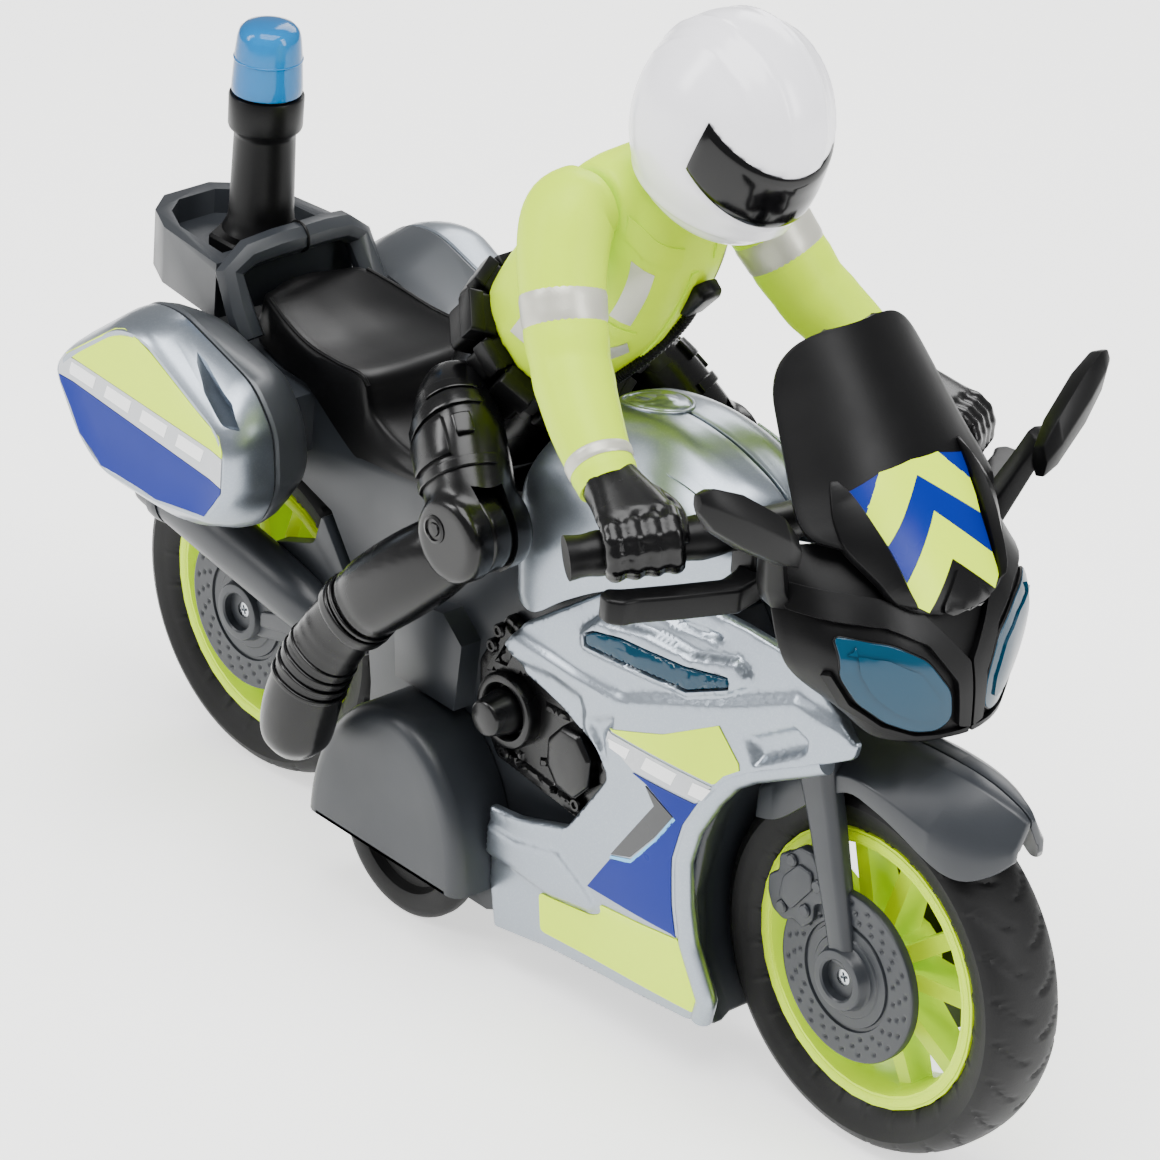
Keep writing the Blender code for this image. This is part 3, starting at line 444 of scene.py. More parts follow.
def eased(obj, rounds):
    # Softens the steps of a relief the way a polished mould would
    ease = obj.modifiers.new("ease", "SMOOTH")
    ease.factor, ease.iterations = 0.5, rounds
    return applied(obj)


def joined(name, objects):
    for extra in objects[1:]:
        for mat in extra.data.materials:
            if mat.name not in [m.name for m in objects[0].data.materials]:
                objects[0].data.materials.append(mat)
    bm = bmesh.new()
    for obj in objects:
        bm.from_mesh(obj.data)
    bm.to_mesh(objects[0].data)
    bm.free()
    for extra in objects[1:]:
        bpy.data.objects.remove(extra, do_unlink=True)
    objects[0].name = name
    return objects[0]


def insideDistance(points, outline):
    # Distance of 2-D points to an outline, positive inside
    a = np.array(outline, float)
    b = np.roll(a, -1, axis=0)
    p = points[:, None, :]
    edge = (b - a)[None]
    t = np.clip(((p - a) * edge).sum(-1) / np.maximum((edge ** 2).sum(-1), 1e-9), 0, 1)
    gap = np.sqrt((((a + t[..., None] * edge) - p) ** 2).sum(-1)).min(1)
    crosses = ((a[:, 1] > p[..., 1]) != (b[:, 1] > p[..., 1]))
    rise = np.where(np.abs(b[:, 1] - a[:, 1]) < 1e-9, 1e-9, b[:, 1] - a[:, 1])
    at = (b[:, 0] - a[:, 0]) * (p[..., 1] - a[:, 1]) / rise + a[:, 0]
    inside = (crosses & (p[..., 0] < at)).sum(1) % 2 == 1
    return np.where(inside, gap, -gap)


def resampled(outline, spacing):
    out = []
    for k, a in enumerate(outline):
        b = outline[(k + 1) % len(outline)]
        steps = max(1, int(math.dist(a, b) / spacing))
        out += [(a[0] + (b[0] - a[0]) * n / steps, a[1] + (b[1] - a[1]) * n / steps) for n in range(steps)]
    return out


def rounded(outline, radius, steps=3):
    # Outline with its corners cut to short arcs
    out, count = [], len(outline)
    for k in range(count):
        a, b, c = (np.array(outline[(k + d) % count], float) for d in (-1, 0, 1))
        cut = min(radius, 0.45 * np.linalg.norm(a - b), 0.45 * np.linalg.norm(c - b))
        p, q = b + (a - b) / np.linalg.norm(a - b) * cut, b + (c - b) / np.linalg.norm(c - b) * cut
        for n in range(steps + 1):
            t = n / steps
            out.append(tuple((1 - t) ** 2 * p + 2 * t * (1 - t) * b + t * t * q))
    return out


def offsetRing(outline, distance):
    # Points a set distance inside an outline, where there is room for them
    ring = []
    dense = resampled(outline, 1.2)
    pts = np.array(dense)
    ahead, behind = np.roll(pts, -1, axis=0), np.roll(pts, 1, axis=0)
    tangent = ahead - behind
    tangent /= np.maximum(np.linalg.norm(tangent, axis=1)[:, None], 1e-9)
    for sign in (1, -1):
        moved = pts + sign * distance * np.stack([-tangent[:, 1], tangent[:, 0]], axis=1)
        depth = insideDistance(moved, outline)
        ring += [tuple(m) for m, d in zip(moved, depth) if abs(d - distance) < 0.25 * distance + 0.02]
    return ring


def triangulated(outline, rings, points, spacing):
    outline = resampled(outline, spacing)
    low, high = np.min(outline, axis=0), np.max(outline, axis=0)
    grid = np.array([(x, z) for x in np.arange(low[0], high[0], spacing)
                     for z in np.arange(low[1], high[1], spacing)])
    grid = grid[insideDistance(grid, outline) > spacing * 0.4] if len(grid) else grid
    verts = [tuple(p) for p in outline]
    edges = [(n, (n + 1) % len(outline)) for n in range(len(outline))]
    for ring in rings:
        dense = resampled(ring, spacing)
        start = len(verts)
        verts += dense
        edges += [(start + n, start + (n + 1) % len(dense)) for n in range(len(dense))]
    verts += [p for p in points] + [tuple(p) for p in grid]
    out = delaunay_2d_cdt([Vector(v) for v in verts], edges, [], 1, 1e-4)
    flat, faces = np.array([tuple(v) for v in out[0]]), [tuple(f) for f in out[2]]
    keep = insideDistance(np.array([flat[list(f)].mean(0) for f in faces]), outline) > 0
    faces = [f for f, inside in zip(faces, keep) if inside]
    used = sorted({n for f in faces for n in f})
    order = {n: k for k, n in enumerate(used)}
    return flat[used], [tuple(order[n] for n in f) for f in faces]


def surfaceThrough(controls):
    # Smooth height over (u, v) through (u, v, height) points: a thin-plate spline
    data = np.array(controls, float)
    uv, height = data[:, :2] / 50.0, data[:, 2]

    def kernel(a, b):
        r = np.linalg.norm(a[:, None] - b[None], axis=-1)
        return np.where(r > 1e-9, r * r * np.log(np.maximum(r, 1e-9)), 0.0)

    n = len(uv)
    system = np.zeros((n + 3, n + 3))
    system[:n, :n] = kernel(uv, uv) + np.eye(n) * 0.004
    system[:n, n:] = np.c_[np.ones(n), uv]
    system[n:, :n] = system[:n, n:].T
    weights = np.linalg.solve(system, np.r_[height, 0, 0, 0])
    return lambda p: kernel(p / 50.0, uv) @ weights[:n] + np.c_[np.ones(len(p)), p / 50.0] @ weights[n:]


def reliefPanel(name, outline, surface, features, side, wall, spacing=2.2, round_=0.9):
    # Side panel: outline in (x, z), outer face at |y| = surface plus raised or sunk features, rounded rim
    rings = [f["outline"] for f in features]
    points = []
    for f in features:
        points += offsetRing(f["outline"], f["slope"]) + offsetRing(f["outline"], f["slope"] * 0.5)
    for d in (0.08, 0.3, 0.6, 1.0):
        points += offsetRing(outline, round_ * d)
    flat, faces = triangulated(outline, rings, points, spacing)
    depth = surface(flat)
    for f in features:
        t = np.clip(insideDistance(flat, f["outline"]) / f["slope"], 0, 1)
        depth = depth + f["rise"] * t * t * (3 - 2 * t)
    lowest = np.minimum(depth, surface(flat))
    d = np.clip(insideDistance(flat, outline), 0, round_)
    depth = depth - (round_ - np.sqrt(np.maximum(round_ ** 2 - (round_ - d) ** 2, 0)))
    outer = [(x, side * y, z) for (x, z), y in zip(flat, depth)]
    back = lowest - wall
    inner = [(x, side * y, z) for (x, z), y in zip(flat, back)]
    count = len(outer)
    used = {}
    for face in faces:
        for a, b in zip(face, face[1:] + face[:1]):
            used[(a, b)] = True
    walls = [(a, b, b + count, a + count) for a, b in used if (b, a) not in used]
    return solid(name, outer + inner,
                 faces + [tuple(n + count for n in face[::-1]) for face in faces] + walls)


def wrapTree(obj):
    # Surface to lay labels on, in metres in the shared frame
    return BVHTree.FromObject(obj, bpy.context.evaluated_depsgraph_get())


def label(name, patches, trees, origin, uAxis, vAxis, body, lift=0.10, thick=0.10, spacing=2.0,
          smooth=50):
    # Thin printed film laid on a surface: patches of (outline in u and v, finish), pushed along u x v
    u, v = Vector(uAxis).normalized(), Vector(vAxis).normalized()
    out = u.cross(v).normalized()
    start = Vector(origin)
    verts, faces, looks = [], [], []
    for outline, look in patches:
        flat, tris = triangulated(outline, [], [], spacing)
        base = len(verts)
        tops = []
        for a, b in flat:
            ray = place(*(start + u * a + v * b + out * 60))
            best = None
            for tree in trees:
                hit = tree.ray_cast(ray, -out, 0.12)
                if hit[0] is not None and (best is None or hit[3] < best[3]):
                    best = hit
            if best is None:
                near = min((tree.find_nearest(ray - out * 0.06) for tree in trees), key=lambda h: h[3])
                best = near
            normal = best[1] if best[1].dot(out) > 0 else -best[1]
            tops.append((best[0], normal))
        verts += [p + n * (lift + thick) * mm for p, n in tops] + [p + n * lift * 0.2 * mm for p, n in tops]
        count = len(flat)
        used = set()
        for tri in tris:
            for i, j in zip(tri, tri[1:] + tri[:1]):
                used.add((i, j))
        walls = [(i, j, j + count, i + count) for i, j in used if (j, i) not in used]
        new = list(tris) + [tuple(n + count for n in t[::-1]) for t in tris] + walls
        faces += [tuple(n + base for n in f) for f in new]
        looks += [look] * len(new)
    mesh = bpy.data.meshes.new(name)
    mesh.from_pydata(verts, [], faces)
    obj = linked(name, mesh)
    kinds = list(dict.fromkeys(looks))
    for polygon, look in zip(mesh.polygons, looks):
        polygon.material_index = kinds.index(look)
    bm = bmesh.new()
    bm.from_mesh(mesh)
    bmesh.ops.recalc_face_normals(bm, faces=bm.faces)
    bm.to_mesh(mesh)
    bm.free()
    return settle(obj, kinds, body, (), smooth)


sides = (("right", -1), ("left", 1))

# ---- side fairings, lenses and labels ----
fairing = {
    "roll": 2.2,
    "outline": [(89, 73), (93, 79), (103, 86.5), (112, 93.5), (121.5, 98.4), (133, 101.5), (150, 102),
                (163, 101.5),
                (172, 97.5), (181.5, 91.0), (181.0, 87.8), (171, 82), (157.6, 74.8), (153, 71.4), (149.1, 66),
                (144.8, 57.5), (143.2, 49.7), (144.2, 40), (145.8, 32), (150.3, 20.5), (149, 15.5), (146, 14),
                (126.8, 12.6), (106.8, 11.6), (92, 9.6), (90, 20), (89.5, 37), (98, 38.0), (112, 42.7),
                (121.6, 57.9), (117.8, 62.8), (106, 66.8), (96, 69.0)],
    "height": [(89, 73, 22), (93, 78, 21.6), (111, 91, 20.2), (123, 97, 18.8), (133, 100, 17.8),
               (164, 101, 17.6),
               (172, 96, 18.0), (182, 90, 17.2), (157, 74, 20.8), (148, 66, 22.0), (145, 54, 22.8),
               (144, 42, 23),
               (146, 31, 22.3), (149, 20, 20.8), (123, 13, 21.2), (107, 12, 22), (92, 10, 22.8), (90, 37, 23),
               (112, 43, 23.2), (122, 58, 22.6), (118, 64, 22.4), (103, 69, 22.2), (135, 84, 21.4),
               (128, 45, 23.4),
               (120, 28, 22.6), (135, 30, 22.8), (150, 88, 20.2), (120, 78, 22.6)],
    "bezel": [(108.6, 84.6), (113.4, 89.6), (127.3, 92.4), (139.0, 92.6), (150.4, 96.3), (154.4, 94.3),
              (154.2, 91.3),
              (149.0, 87.4), (139.9, 83.2), (110.6, 80.8)],
    "lens": [(110.9, 84.9), (113.4, 86.6), (121, 88.3), (138, 89.6), (149.4, 92.0), (150.2, 89.6),
             (140.0, 84.9),
             (112.0, 82.6)],
    "groove": [(122.4, 97.4), (125.4, 98.6), (130.9, 96.9), (143.4, 98.3), (147.4, 98.2), (143.5, 96.0),
               (133.6, 94.9),
               (126.5, 95.2)],
    "cheek": [(93, 72.4), (104, 73.6), (113.0, 72.9), (115.0, 69.5), (115.0, 66.0), (118.8, 62.2),
              (106, 65.4),
              (95, 68.0), (88, 70)],
    "shoulder": [(110, 74.5), (124.0, 75.5), (136, 80.5), (150.5, 86.0), (166, 93.2), (181, 91.5), (184, 104),
                 (150, 106), (118, 101), (86, 84), (86, 75.5)],
    "chip": [(113.9, 68.1), (123.6, 73.6), (122.6, 69.2), (120.6, 66.2), (122.0, 59.6), (117.4, 63.4)],
    "scoop": [(155.2, 82.6), (166.6, 89.6), (171.2, 88.0), (171.0, 84.6), (158.6, 76.6)],
    "lobe": [(86, 33.6), (98.3, 33.6), (110.4, 36.8), (118.4, 32.4), (122.0, 29.6), (121.6, 27.6),
             (119.6, 26.6),
             (107.2, 24.6), (98, 25.6), (86, 26)],
    "sill": [(86, 26.8), (98, 26.6), (108, 25.6), (119.6, 27.4), (122.6, 30.2), (145.4, 33.6), (156, 24),
             (156, 8),
             (86, 6)],
}
fairingLabels = [
    ([(121.4, 68.9), (135.9, 74.3), (149.3, 81.9), (151.2, 80.2), (156.3, 75.4), (150.9, 69.6)],
     "labelYellow"),
    ([(121.2, 68.3), (150.8, 68.9), (147.8, 64.4), (129.2, 63.4), (121.0, 66.4)], "labelGrey"),
    ([(129.2, 62.9), (147.0, 63.7), (144.9, 58.4), (143.6, 52.4), (143.4, 46.2), (145.6, 33.6), (119.4, 32.9),
      (125.5, 42.0), (131.4, 44.0), (137.7, 52.0), (141.7, 58.6), (133.4, 62.2)], "labelBlue"),
    ([(133.0, 61.8), (141.0, 58.6), (136.7, 52.0), (131.0, 45.1), (125.6, 43.2), (135.9, 58.7)],
     "labelBlack"),
    ([(141.1, 58.5), (137.1, 52.0), (131.2, 44.7), (125.6, 42.9), (125.4, 42.2), (131.4, 43.9), (137.7, 51.8),
      (141.9, 58.4)], "labelSky"),
    (rounded([(104.6, 23.8), (119.4, 25.8), (122.4, 27.4), (122.9, 30.4), (145.4, 32.7), (149.9, 21.2),
              (148.6, 16.9),
              (105.4, 15.2)], 1.2), "labelYellow"),
]
fairingDashes = [[(121.8, 67.0), (128.0, 67.5), (127.0, 64.9), (122.2, 65.2)],
                 [(132.6, 67.9), (140.9, 68.0), (139.7, 65.0), (131.4, 64.9)],
                 [(145.1, 68.0), (149.6, 68.2), (147.7, 65.2), (144.2, 65.1)]]


def makeFairings():
    f = fairing
    base = surfaceThrough(f["height"])
    features = [{"outline": f["shoulder"], "rise": -1.1, "slope": 2.4},
                {"outline": f["bezel"], "rise": 1.4, "slope": 1.3},
                {"outline": f["lens"], "rise": -1.9, "slope": 0.5},
                {"outline": f["groove"], "rise": -1.4, "slope": 1.4},
                {"outline": f["cheek"], "rise": -1.0, "slope": 2.6},
                {"outline": f["chip"], "rise": -1.2, "slope": 2.0},
                {"outline": f["scoop"], "rise": -1.8, "slope": 2.0},
                {"outline": f["lobe"], "rise": 0.6, "slope": 1.4},
                {"outline": f["sill"], "rise": -0.9, "slope": 1.6}]
    for word, side in sides:
        panel = reliefPanel("fairing_panel_" + word, rounded(f["outline"], 0.8, 2), base, features, side, 1.8,
                            1.15, 0.9)
        eased(panel, 1)
        settle(panel, "silver", "body", ["side_fairing_" + word], 50)
        lens = reliefPanel("indicator_lens_" + word, rounded(offsetLine(f["lens"], 0.45), 0.6),
                           lambda p: base(p) + 0.1,
                           [{"outline": offsetLine(f["lens"], 2.2), "rise": 0.35, "slope": 0.6}], side, 0.8,
                           1.6, 0.4)
        settle(lens, "lensBlue", "body", ["side_lens_" + word], 50)
        tree = wrapTree(panel)
        facing = (-side, 0, 0)  # u runs so that u x v points outwards
        turn = lambda outline: [(-side * x, z) for x, z in outline]
        label("fairing_label_" + word,
              [(turn(keptInside(o, f["outline"], 1.3)), look) for o, look in fairingLabels],
              [tree], (0, 0, 0), facing, (0, 0, 1), "body", 0.14, 0.08, 1.3)
        label("fairing_dashes_" + word, [(turn(o), "labelWhite") for o in fairingDashes], [tree], (0, 0, 0),
              facing,
              (0, 0, 1), "body", 0.24, 0.08)
        edge = [(x, z) for x,
                z in resampled(f["outline"], 1.5) if 15 < z < 84 and x > 143 and x + 0.2 * z > 149]
        start = edge.index(max(edge, key=lambda q: q[1]))
        edge = edge[start:] + edge[:start]
        depth = base(np.array(edge))
        roll = f["roll"]
        lip = tube("arch_roll_" + word, [(x, side * (y - roll), z) for (x, z), y in zip(edge, depth)], roll,
                   16)
        settle(lip, "silver", "body", (), 60)


def keptInside(outline, region, margin):
    # Label outline pulled back so that it never runs over the rounded rim of its panel
    if insideDistance(np.array(outline), region).min() > margin:
        return outline
    ring, kept = np.array(offsetRing(region, margin)), []
    for p in resampled(outline, 1.2):
        if insideDistance(np.array([p]), region)[0] < margin:
            p = ring[np.argmin(((ring - np.array(p)) ** 2).sum(axis=1))]
        if not kept or math.dist(kept[-1], p) > 0.3:
            kept.append(tuple(p))
    return kept


def offsetLine(outline, distance):
    # Outline moved inwards, corner by corner
    pts = np.array(outline, float)
    ahead, behind = np.roll(pts, -1, axis=0) - pts, pts - np.roll(pts, 1, axis=0)
    area = 0.5 * (pts[:, 0] * np.roll(pts[:, 1], -1) - np.roll(pts[:, 0], -1) * pts[:, 1]).sum()
    turnSign = 1 if area > 0 else -1
    unit = lambda e: e / np.linalg.norm(e, axis=1)[:, None]
    n1 = np.stack([-unit(behind)[:, 1], unit(behind)[:, 0]], axis=1) * turnSign
    n2 = np.stack([-unit(ahead)[:, 1], unit(ahead)[:, 0]], axis=1) * turnSign
    mid = n1 + n2
    return [tuple(p) for p in pts + distance * 2 * mid / np.maximum((mid ** 2).sum(1)[:, None], 0.5)]


makeFairings()
print("fairings fitted")

# ---- rider ----
def oval(centre, along, across, half, depth, sides=28, square=2.0):
    # Ring round a limb: half wide along `across`, depth the other way
    along = Vector(along).normalized()
    across = (Vector(across) - along * Vector(across).dot(along)).normalized()
    other = along.cross(across)
    ring = []
    for n in range(sides):
        t = 2 * math.pi * n / sides
        c, s = math.cos(t), math.sin(t)
        k = (abs(c) ** square + abs(s) ** square) ** (-1 / square)
        ring.append(Vector(centre) + across * (c * k * half) + other * (s * k * depth))
    return ring


def limb(name, stations, across=(0, 1, 0), sides=28, steps=5, ripple=None, square=2.2):
    # Smooth limb through stations of (x, y, z, half width, depth); ripple(t, angle) adds moulded creases
    path = spline(stations, steps)
    rings = []
    for k, p in enumerate(path):
        along = Vector(path[min(k + 1, len(path) - 1)][:3]) - Vector(path[max(k - 1, 0)][:3])
        ring = oval(p[:3], along, across, p[3], p[4], sides, square)
        if ripple:
            centre = Vector(p[:3])
            ring = [centre + (q - centre) * (1 + ripple(k / (len(path) - 1), 2 * math.pi * n / sides))
                    for n, q in enumerate(ring)]
        rings.append(ring)
    first, last = rings[0], rings[-1]
    for ring, at in ((first, 0), (last, len(rings))):
        centre = sum(ring, Vector()) / sides
        small = [centre + (q - centre) * 0.55 for q in ring]
        rings.insert(at if at == 0 else len(rings), small)
    return loft(name, rings)


def fused(name, parts, voxel, smoothSteps=6):
    # Moulded body: parts melted together at the joins
    obj = joined(name, parts)
    mesh = obj.modifiers.new("melt", "REMESH")
    mesh.mode, mesh.voxel_size = "VOXEL", voxel * mm
    relax = obj.modifiers.new("relax", "SMOOTH")
    relax.factor, relax.iterations = 0.5, smoothSteps
    return applied(obj)


helmetShape = {"centre": (118.0, 0.0, 189.0), "lean": 22.0, "long": 20.4, "half": 17.2, "tall": 23.0,
               "drop": 21.5}


def helmetPoint(turn, height, grow=0.0):
    # Point on the shell: turn 0 is the face, height -1 to 1 from chin to crown
    h = helmetShape
    spread = math.sqrt(max(0.0, 1 - height * height))
    spread = spread ** 0.86
    x = (h["long"] + grow) * spread * math.cos(turn)
    if height < 0 and x > 0:
        x *= 1 + 0.12 * -height
    y = (h["half"] + grow) * spread * math.sin(turn)
    z = ((h["tall"] if height > 0 else h["drop"]) + grow) * height
    lean = math.radians(h["lean"])
    return Vector((h["centre"][0] + x * math.cos(lean) + z * math.sin(lean), y,
                   h["centre"][2] - x * math.sin(lean) + z * math.cos(lean)))


def bump(value, centre, width):
    return math.exp(-((value - centre) / width) ** 2)


def visorEdge(turn):
    # Lower and upper edge heights of the face opening at a turn from the front
    k = min(abs(turn) / 1.32, 1.0)
    return -0.36 + 0.36 * k ** 2.2, 0.22 + 0.26 * k ** 1.6


def makeHelmet():
    rows, sides = 72, 120
    verts, faces = [], []
    for i in range(rows + 1):
        height = -0.93 + 1.93 * (math.sin(math.pi * (i / rows - 0.5)) + 1) / 2
        for k in range(sides):
            turn = 2 * math.pi * k / sides
            turn = turn - 2 * math.pi if turn > math.pi else turn
            low, high = visorEdge(turn)
            grow = 0.0
            if abs(turn) < 1.30 and low < height < high:
                grow -= 0.55
            crown = height > 0.30
            if crown:
                for line in (0.42, 1.02):
                    grow += 0.42 * bump(abs(math.sin(turn)) * math.sqrt(1 - height * height),
                                        0.26 + 0.3 * (line > 1), 0.035)
            grow += 0.45 * bump(height, -0.62 + 0.10 * math.cos(turn), 0.05)
            verts.append(tuple(helmetPoint(turn, height, grow)))
    for i in range(rows):
        for k in range(sides):
            a, b = i * sides + k, i * sides + (k + 1) % sides
            faces.append((a, b, b + sides, a + sides))
    faces.append(tuple(range(sides)))
    faces.append(tuple(range(rows * sides, (rows + 1) * sides)))
    shell = solid("helmet_shell", verts, faces)
    settle(shell, "whiteGloss", "rider_head", ["rider_helmet"], 60)

    rowsV, sidesV = 14, 54
    verts, faces = [], []
    for layer, grow in ((0, 0.42), (1, -1.2)):
        for i in range(rowsV + 1):
            for k in range(sidesV + 1):
                turn = -1.27 + 2.54 * k / sidesV
                low, high = visorEdge(turn)
                t = i / rowsV
                height = low + 0.014 + (high - low - 0.028) * t
                rim = min(t, 1 - t, k / sidesV * 3, (1 - k / sidesV) * 3)
                lift = grow if layer else grow - 0.5 * max(0.0, 1 - rim / 0.10) ** 2
                verts.append(tuple(helmetPoint(turn, height, lift)))
    width, block = sidesV + 1, (rowsV + 1) * (sidesV + 1)
    for layer in (0, 1):
        for i in range(rowsV):
            for k in range(sidesV):
                a = layer * block + i * width + k
                faces.append((a, a + 1, a + 1 + width, a + width))
    border = [i * width for i in range(rowsV + 1)] + [rowsV * width + k for k in range(1, width)]
    border += [i * width + sidesV for i in range(rowsV - 1, -1, -1)] + [k for k in range(sidesV - 1, 0, -1)]
    for a, b in zip(border, border[1:] + border[:1]):
        faces.append((a, b, b + block, a + block))
    visor = solid("helmet_visor", verts, faces)
    settle(visor, "visorBlack", "rider_head", ["rider_visor"], 50)


makeHelmet()

jacket = {
    "trunk": [(74.6, 0, 130.2, 14.4, 14.2), (81.0, 0, 138.0, 14.6, 16.2), (90.5, 0, 149.5, 15.0, 16.6),
              (98.5, 0, 159.5, 14.6, 14.2), (103.2, 0, 167.4, 12.6, 11.0), (105.6, 0, 172.6, 9.2, 8.4)],
}


def makeJacket():
    j = jacket
    trunk = limb("trunk", j["trunk"], steps=8, sides=36, square=2.5)
    yoke = loft("yoke", [oval((97.5, y, 169.0), (0, 1, 0), (1, 0, 0), r, r * 0.96, 28)
                         for y, r in ((-14.0, 7.4), (-13.4, 8.2), (-8, 9.2), (0, 9.6), (8, 9.2), (13.4, 8.2),
                                      (14.0, 7.4))])
    body = fused("jacket_body", [trunk, yoke], 0.9, 8)
    settle(body, "neonCoat", "body", ["rider_torso"], 60)
    tree = wrapTree(body)
    collar = tube("jacket_collar",
                  [Vector((104.6, 0, 171.6)) + Vector((0.80 * 8.6 * math.cos(t), 8.6 * math.sin(t),
                                                       -0.60 * 8.6 * math.cos(t)))
                   for t in (2 * math.pi * n / 40 for n in range(40))], 1.5, 10, True)
    settle(collar, "neonCoat", "body", (), 60)
    # front of the chest: u runs to the rider's left, v up the leaning chest
    lean = math.radians(48)
    chestUp = (math.cos(lean), 0, math.sin(lean))
    across = (0, 1, 0)
    chest = (90, 0, 149.5)
    strips = [([(-12.4, 6.5), (-9.0, 6.5), (-9.0, 19.5), (-12.4, 19.5)], "strapGrey"),
              ([(9.0, 6.5), (12.4, 6.5), (12.4, 19.5), (9.0, 19.5)], "strapGrey"),
              ([(-13.6, -7.5), (-11.2, -10.4), (-5.4, -1.6), (-7.4, 1.4)], "strapGrey"),
              ([(7.4, 1.4), (5.4, -1.6), (11.2, -10.4), (13.6, -7.5)], "strapGrey")]
    label("chest_tapes", strips, [tree], chest, across, chestUp, "body", 0.10, 0.16, 1.6)
    back = [([(-13, -3.5), (13, -3.5), (13, 0.2), (-13, 0.2)], "strapGrey"),
            ([(-12, 17.0), (-7.4, 17.8), (-7.4, 21.0), (-12, 20.0)], "strapGrey"),
            ([(7.4, 17.8), (12, 17.0), (12, 20.0), (7.4, 21.0)], "strapGrey")]
    label("back_tapes", back, [tree], (86, 0, 150), (0, -1, 0), chestUp, "body", 0.10, 0.16, 1.6)
    flankTape = [(-10.5, -11.5), (-6.5, -12.5), (1.2, 0.2), (4.6, 8.2), (1.0, 8.6), (-3.0, -0.4)]
    for word, side in sides:
        label("flank_tape_" + word, [([(-side * u, v) for u, v in flankTape], "strapGrey")], [tree],
              (88, 0, 146), (-side, 0, 0), (0, 0, 1),
              "body", 0.10, 0.16, 1.6)
    flap = [([(-12.8, 21.6), (-4.2, 21.6), (-4.2, 25.2), (-12.8, 25.2)], "neonCoat"),
            ([(4.2, 21.6), (12.8, 21.6), (12.8, 25.2), (4.2, 25.2)], "neonCoat"),
            ([(-13.2, 2.6), (-7.2, 2.6), (-7.2, 4.8), (-13.2, 4.8)], "neonCoat"),
            ([(7.2, 2.6), (13.2, 2.6), (13.2, 4.8), (7.2, 4.8)], "neonCoat"),
            ([(-0.8, -16), (0.8, -16), (0.8, 20), (-0.8, 20)], "neonCoat")]
    label("jacket_flaps", flap, [tree], chest, across, chestUp, "body", 0.12, 0.34, 1.6)
    makeRadio(tree, chestUp)


def surfacePoint(tree, x, y, z, direction, lift):
    hit = tree.ray_cast(place(x, y, z) + Vector(direction) * 0.06, -Vector(direction), 0.12)
    point = hit[0] + hit[1] * lift * mm
    return ((point.x - rearX) / mm, point.y / mm, point.z / mm)


def makeRadio(tree, up):
    front = Vector((up[2], 0, -up[0]))
    base = Vector((90, 0, 149.5))
    u = Vector((0, 1, 0))
    spots = [base + Vector(up) * v + u * s for v,
             s in ((12, 3.4), (7, 3.2), (2, 2.0), (-4, 0.2), (-9, -1.2), (-13, -1.8))]
    path = [surfacePoint(tree, *p, front, 0.9) for p in spots]
    fine = spline(path, 12)
    radii = [1.0 + 0.22 * (n % 2) for n in range(len(fine))]
    lead = tube("radio_lead", fine, radii, 10)
    settle(lead, "satinBlack", "body", (), 25)
    spot = Vector(surfacePoint(tree, *(base + Vector(up) * 13.5 + u * 3.2), front, 0.0))
    a, b, c = Vector(up), u, front
    rings = []
    for lift, grow in ((-0.6, 1.0), (2.0, 1.0), (2.9, 0.8)):
        rings.append([spot + c * lift + a * (p * grow) + b * (q * grow)
                      for p, q in rounded([(-4.2, -2.6), (4.4, -2.9), (5.4, 0), (4.4, 2.9), (-4.2, 2.6)],
                                          0.9)])
    mic = loft("radio_mic", rings)
    settle(bevelled(mic, 0.35), "satinBlack", "body", (), 35)


makeJacket()
print("helmet and jacket made")

sleeve = {
    "arm": [(97.6, -15.2, 169.6, 6.9, 7.6), (98.0, -20.6, 168.4, 8.6, 8.9), (101.2, -24.8, 161.6, 8.5, 8.3),
            (106.0, -28.0, 153.8, 7.9, 7.8), (112.4, -31.2, 145.4, 7.6, 7.5), (120.4, -34.6, 139.0, 7.1, 6.9),
            (127.6, -37.0, 134.0, 6.3, 6.1), (132.6, -38.4, 130.9, 5.9, 5.6)],
    "creases": ((0.50, 0.020), (0.56, -0.024), (0.62, 0.018), (0.93, 0.018), (0.89, -0.02)),
}


def ringBand(name, stations, start, end, grow, look, body, sides=40):
    # Tape round a limb between two fractions of its length
    path = spline(stations, 10)
    rings = []
    count = 7
    for k in range(count):
        t = (start + (end - start) * k / (count - 1)) * (len(path) - 1)
        lo, f = int(t), t - int(t)
        p = path[lo] * (1 - f) + path[min(lo + 1, len(path) - 1)] * f
        along = Vector(path[min(lo + 1, len(path) - 1)][:3]) - Vector(path[max(lo - 1, 0)][:3])
        edge = 0.25 if k in (0, count - 1) else 0.0
        rings.append(oval(p[:3], along, (0, 1, 0), p[3] + grow - edge, p[4] + grow - edge, sides, 2.2))
    inner = [[sum(r, Vector()) / sides + (q - sum(r, Vector()) / sides) * 0.93 for q in r] for r in rings]
    obj = loft(name, rings + inner[::-1], closed=True)
    return settle(obj, look, body, (), 45)


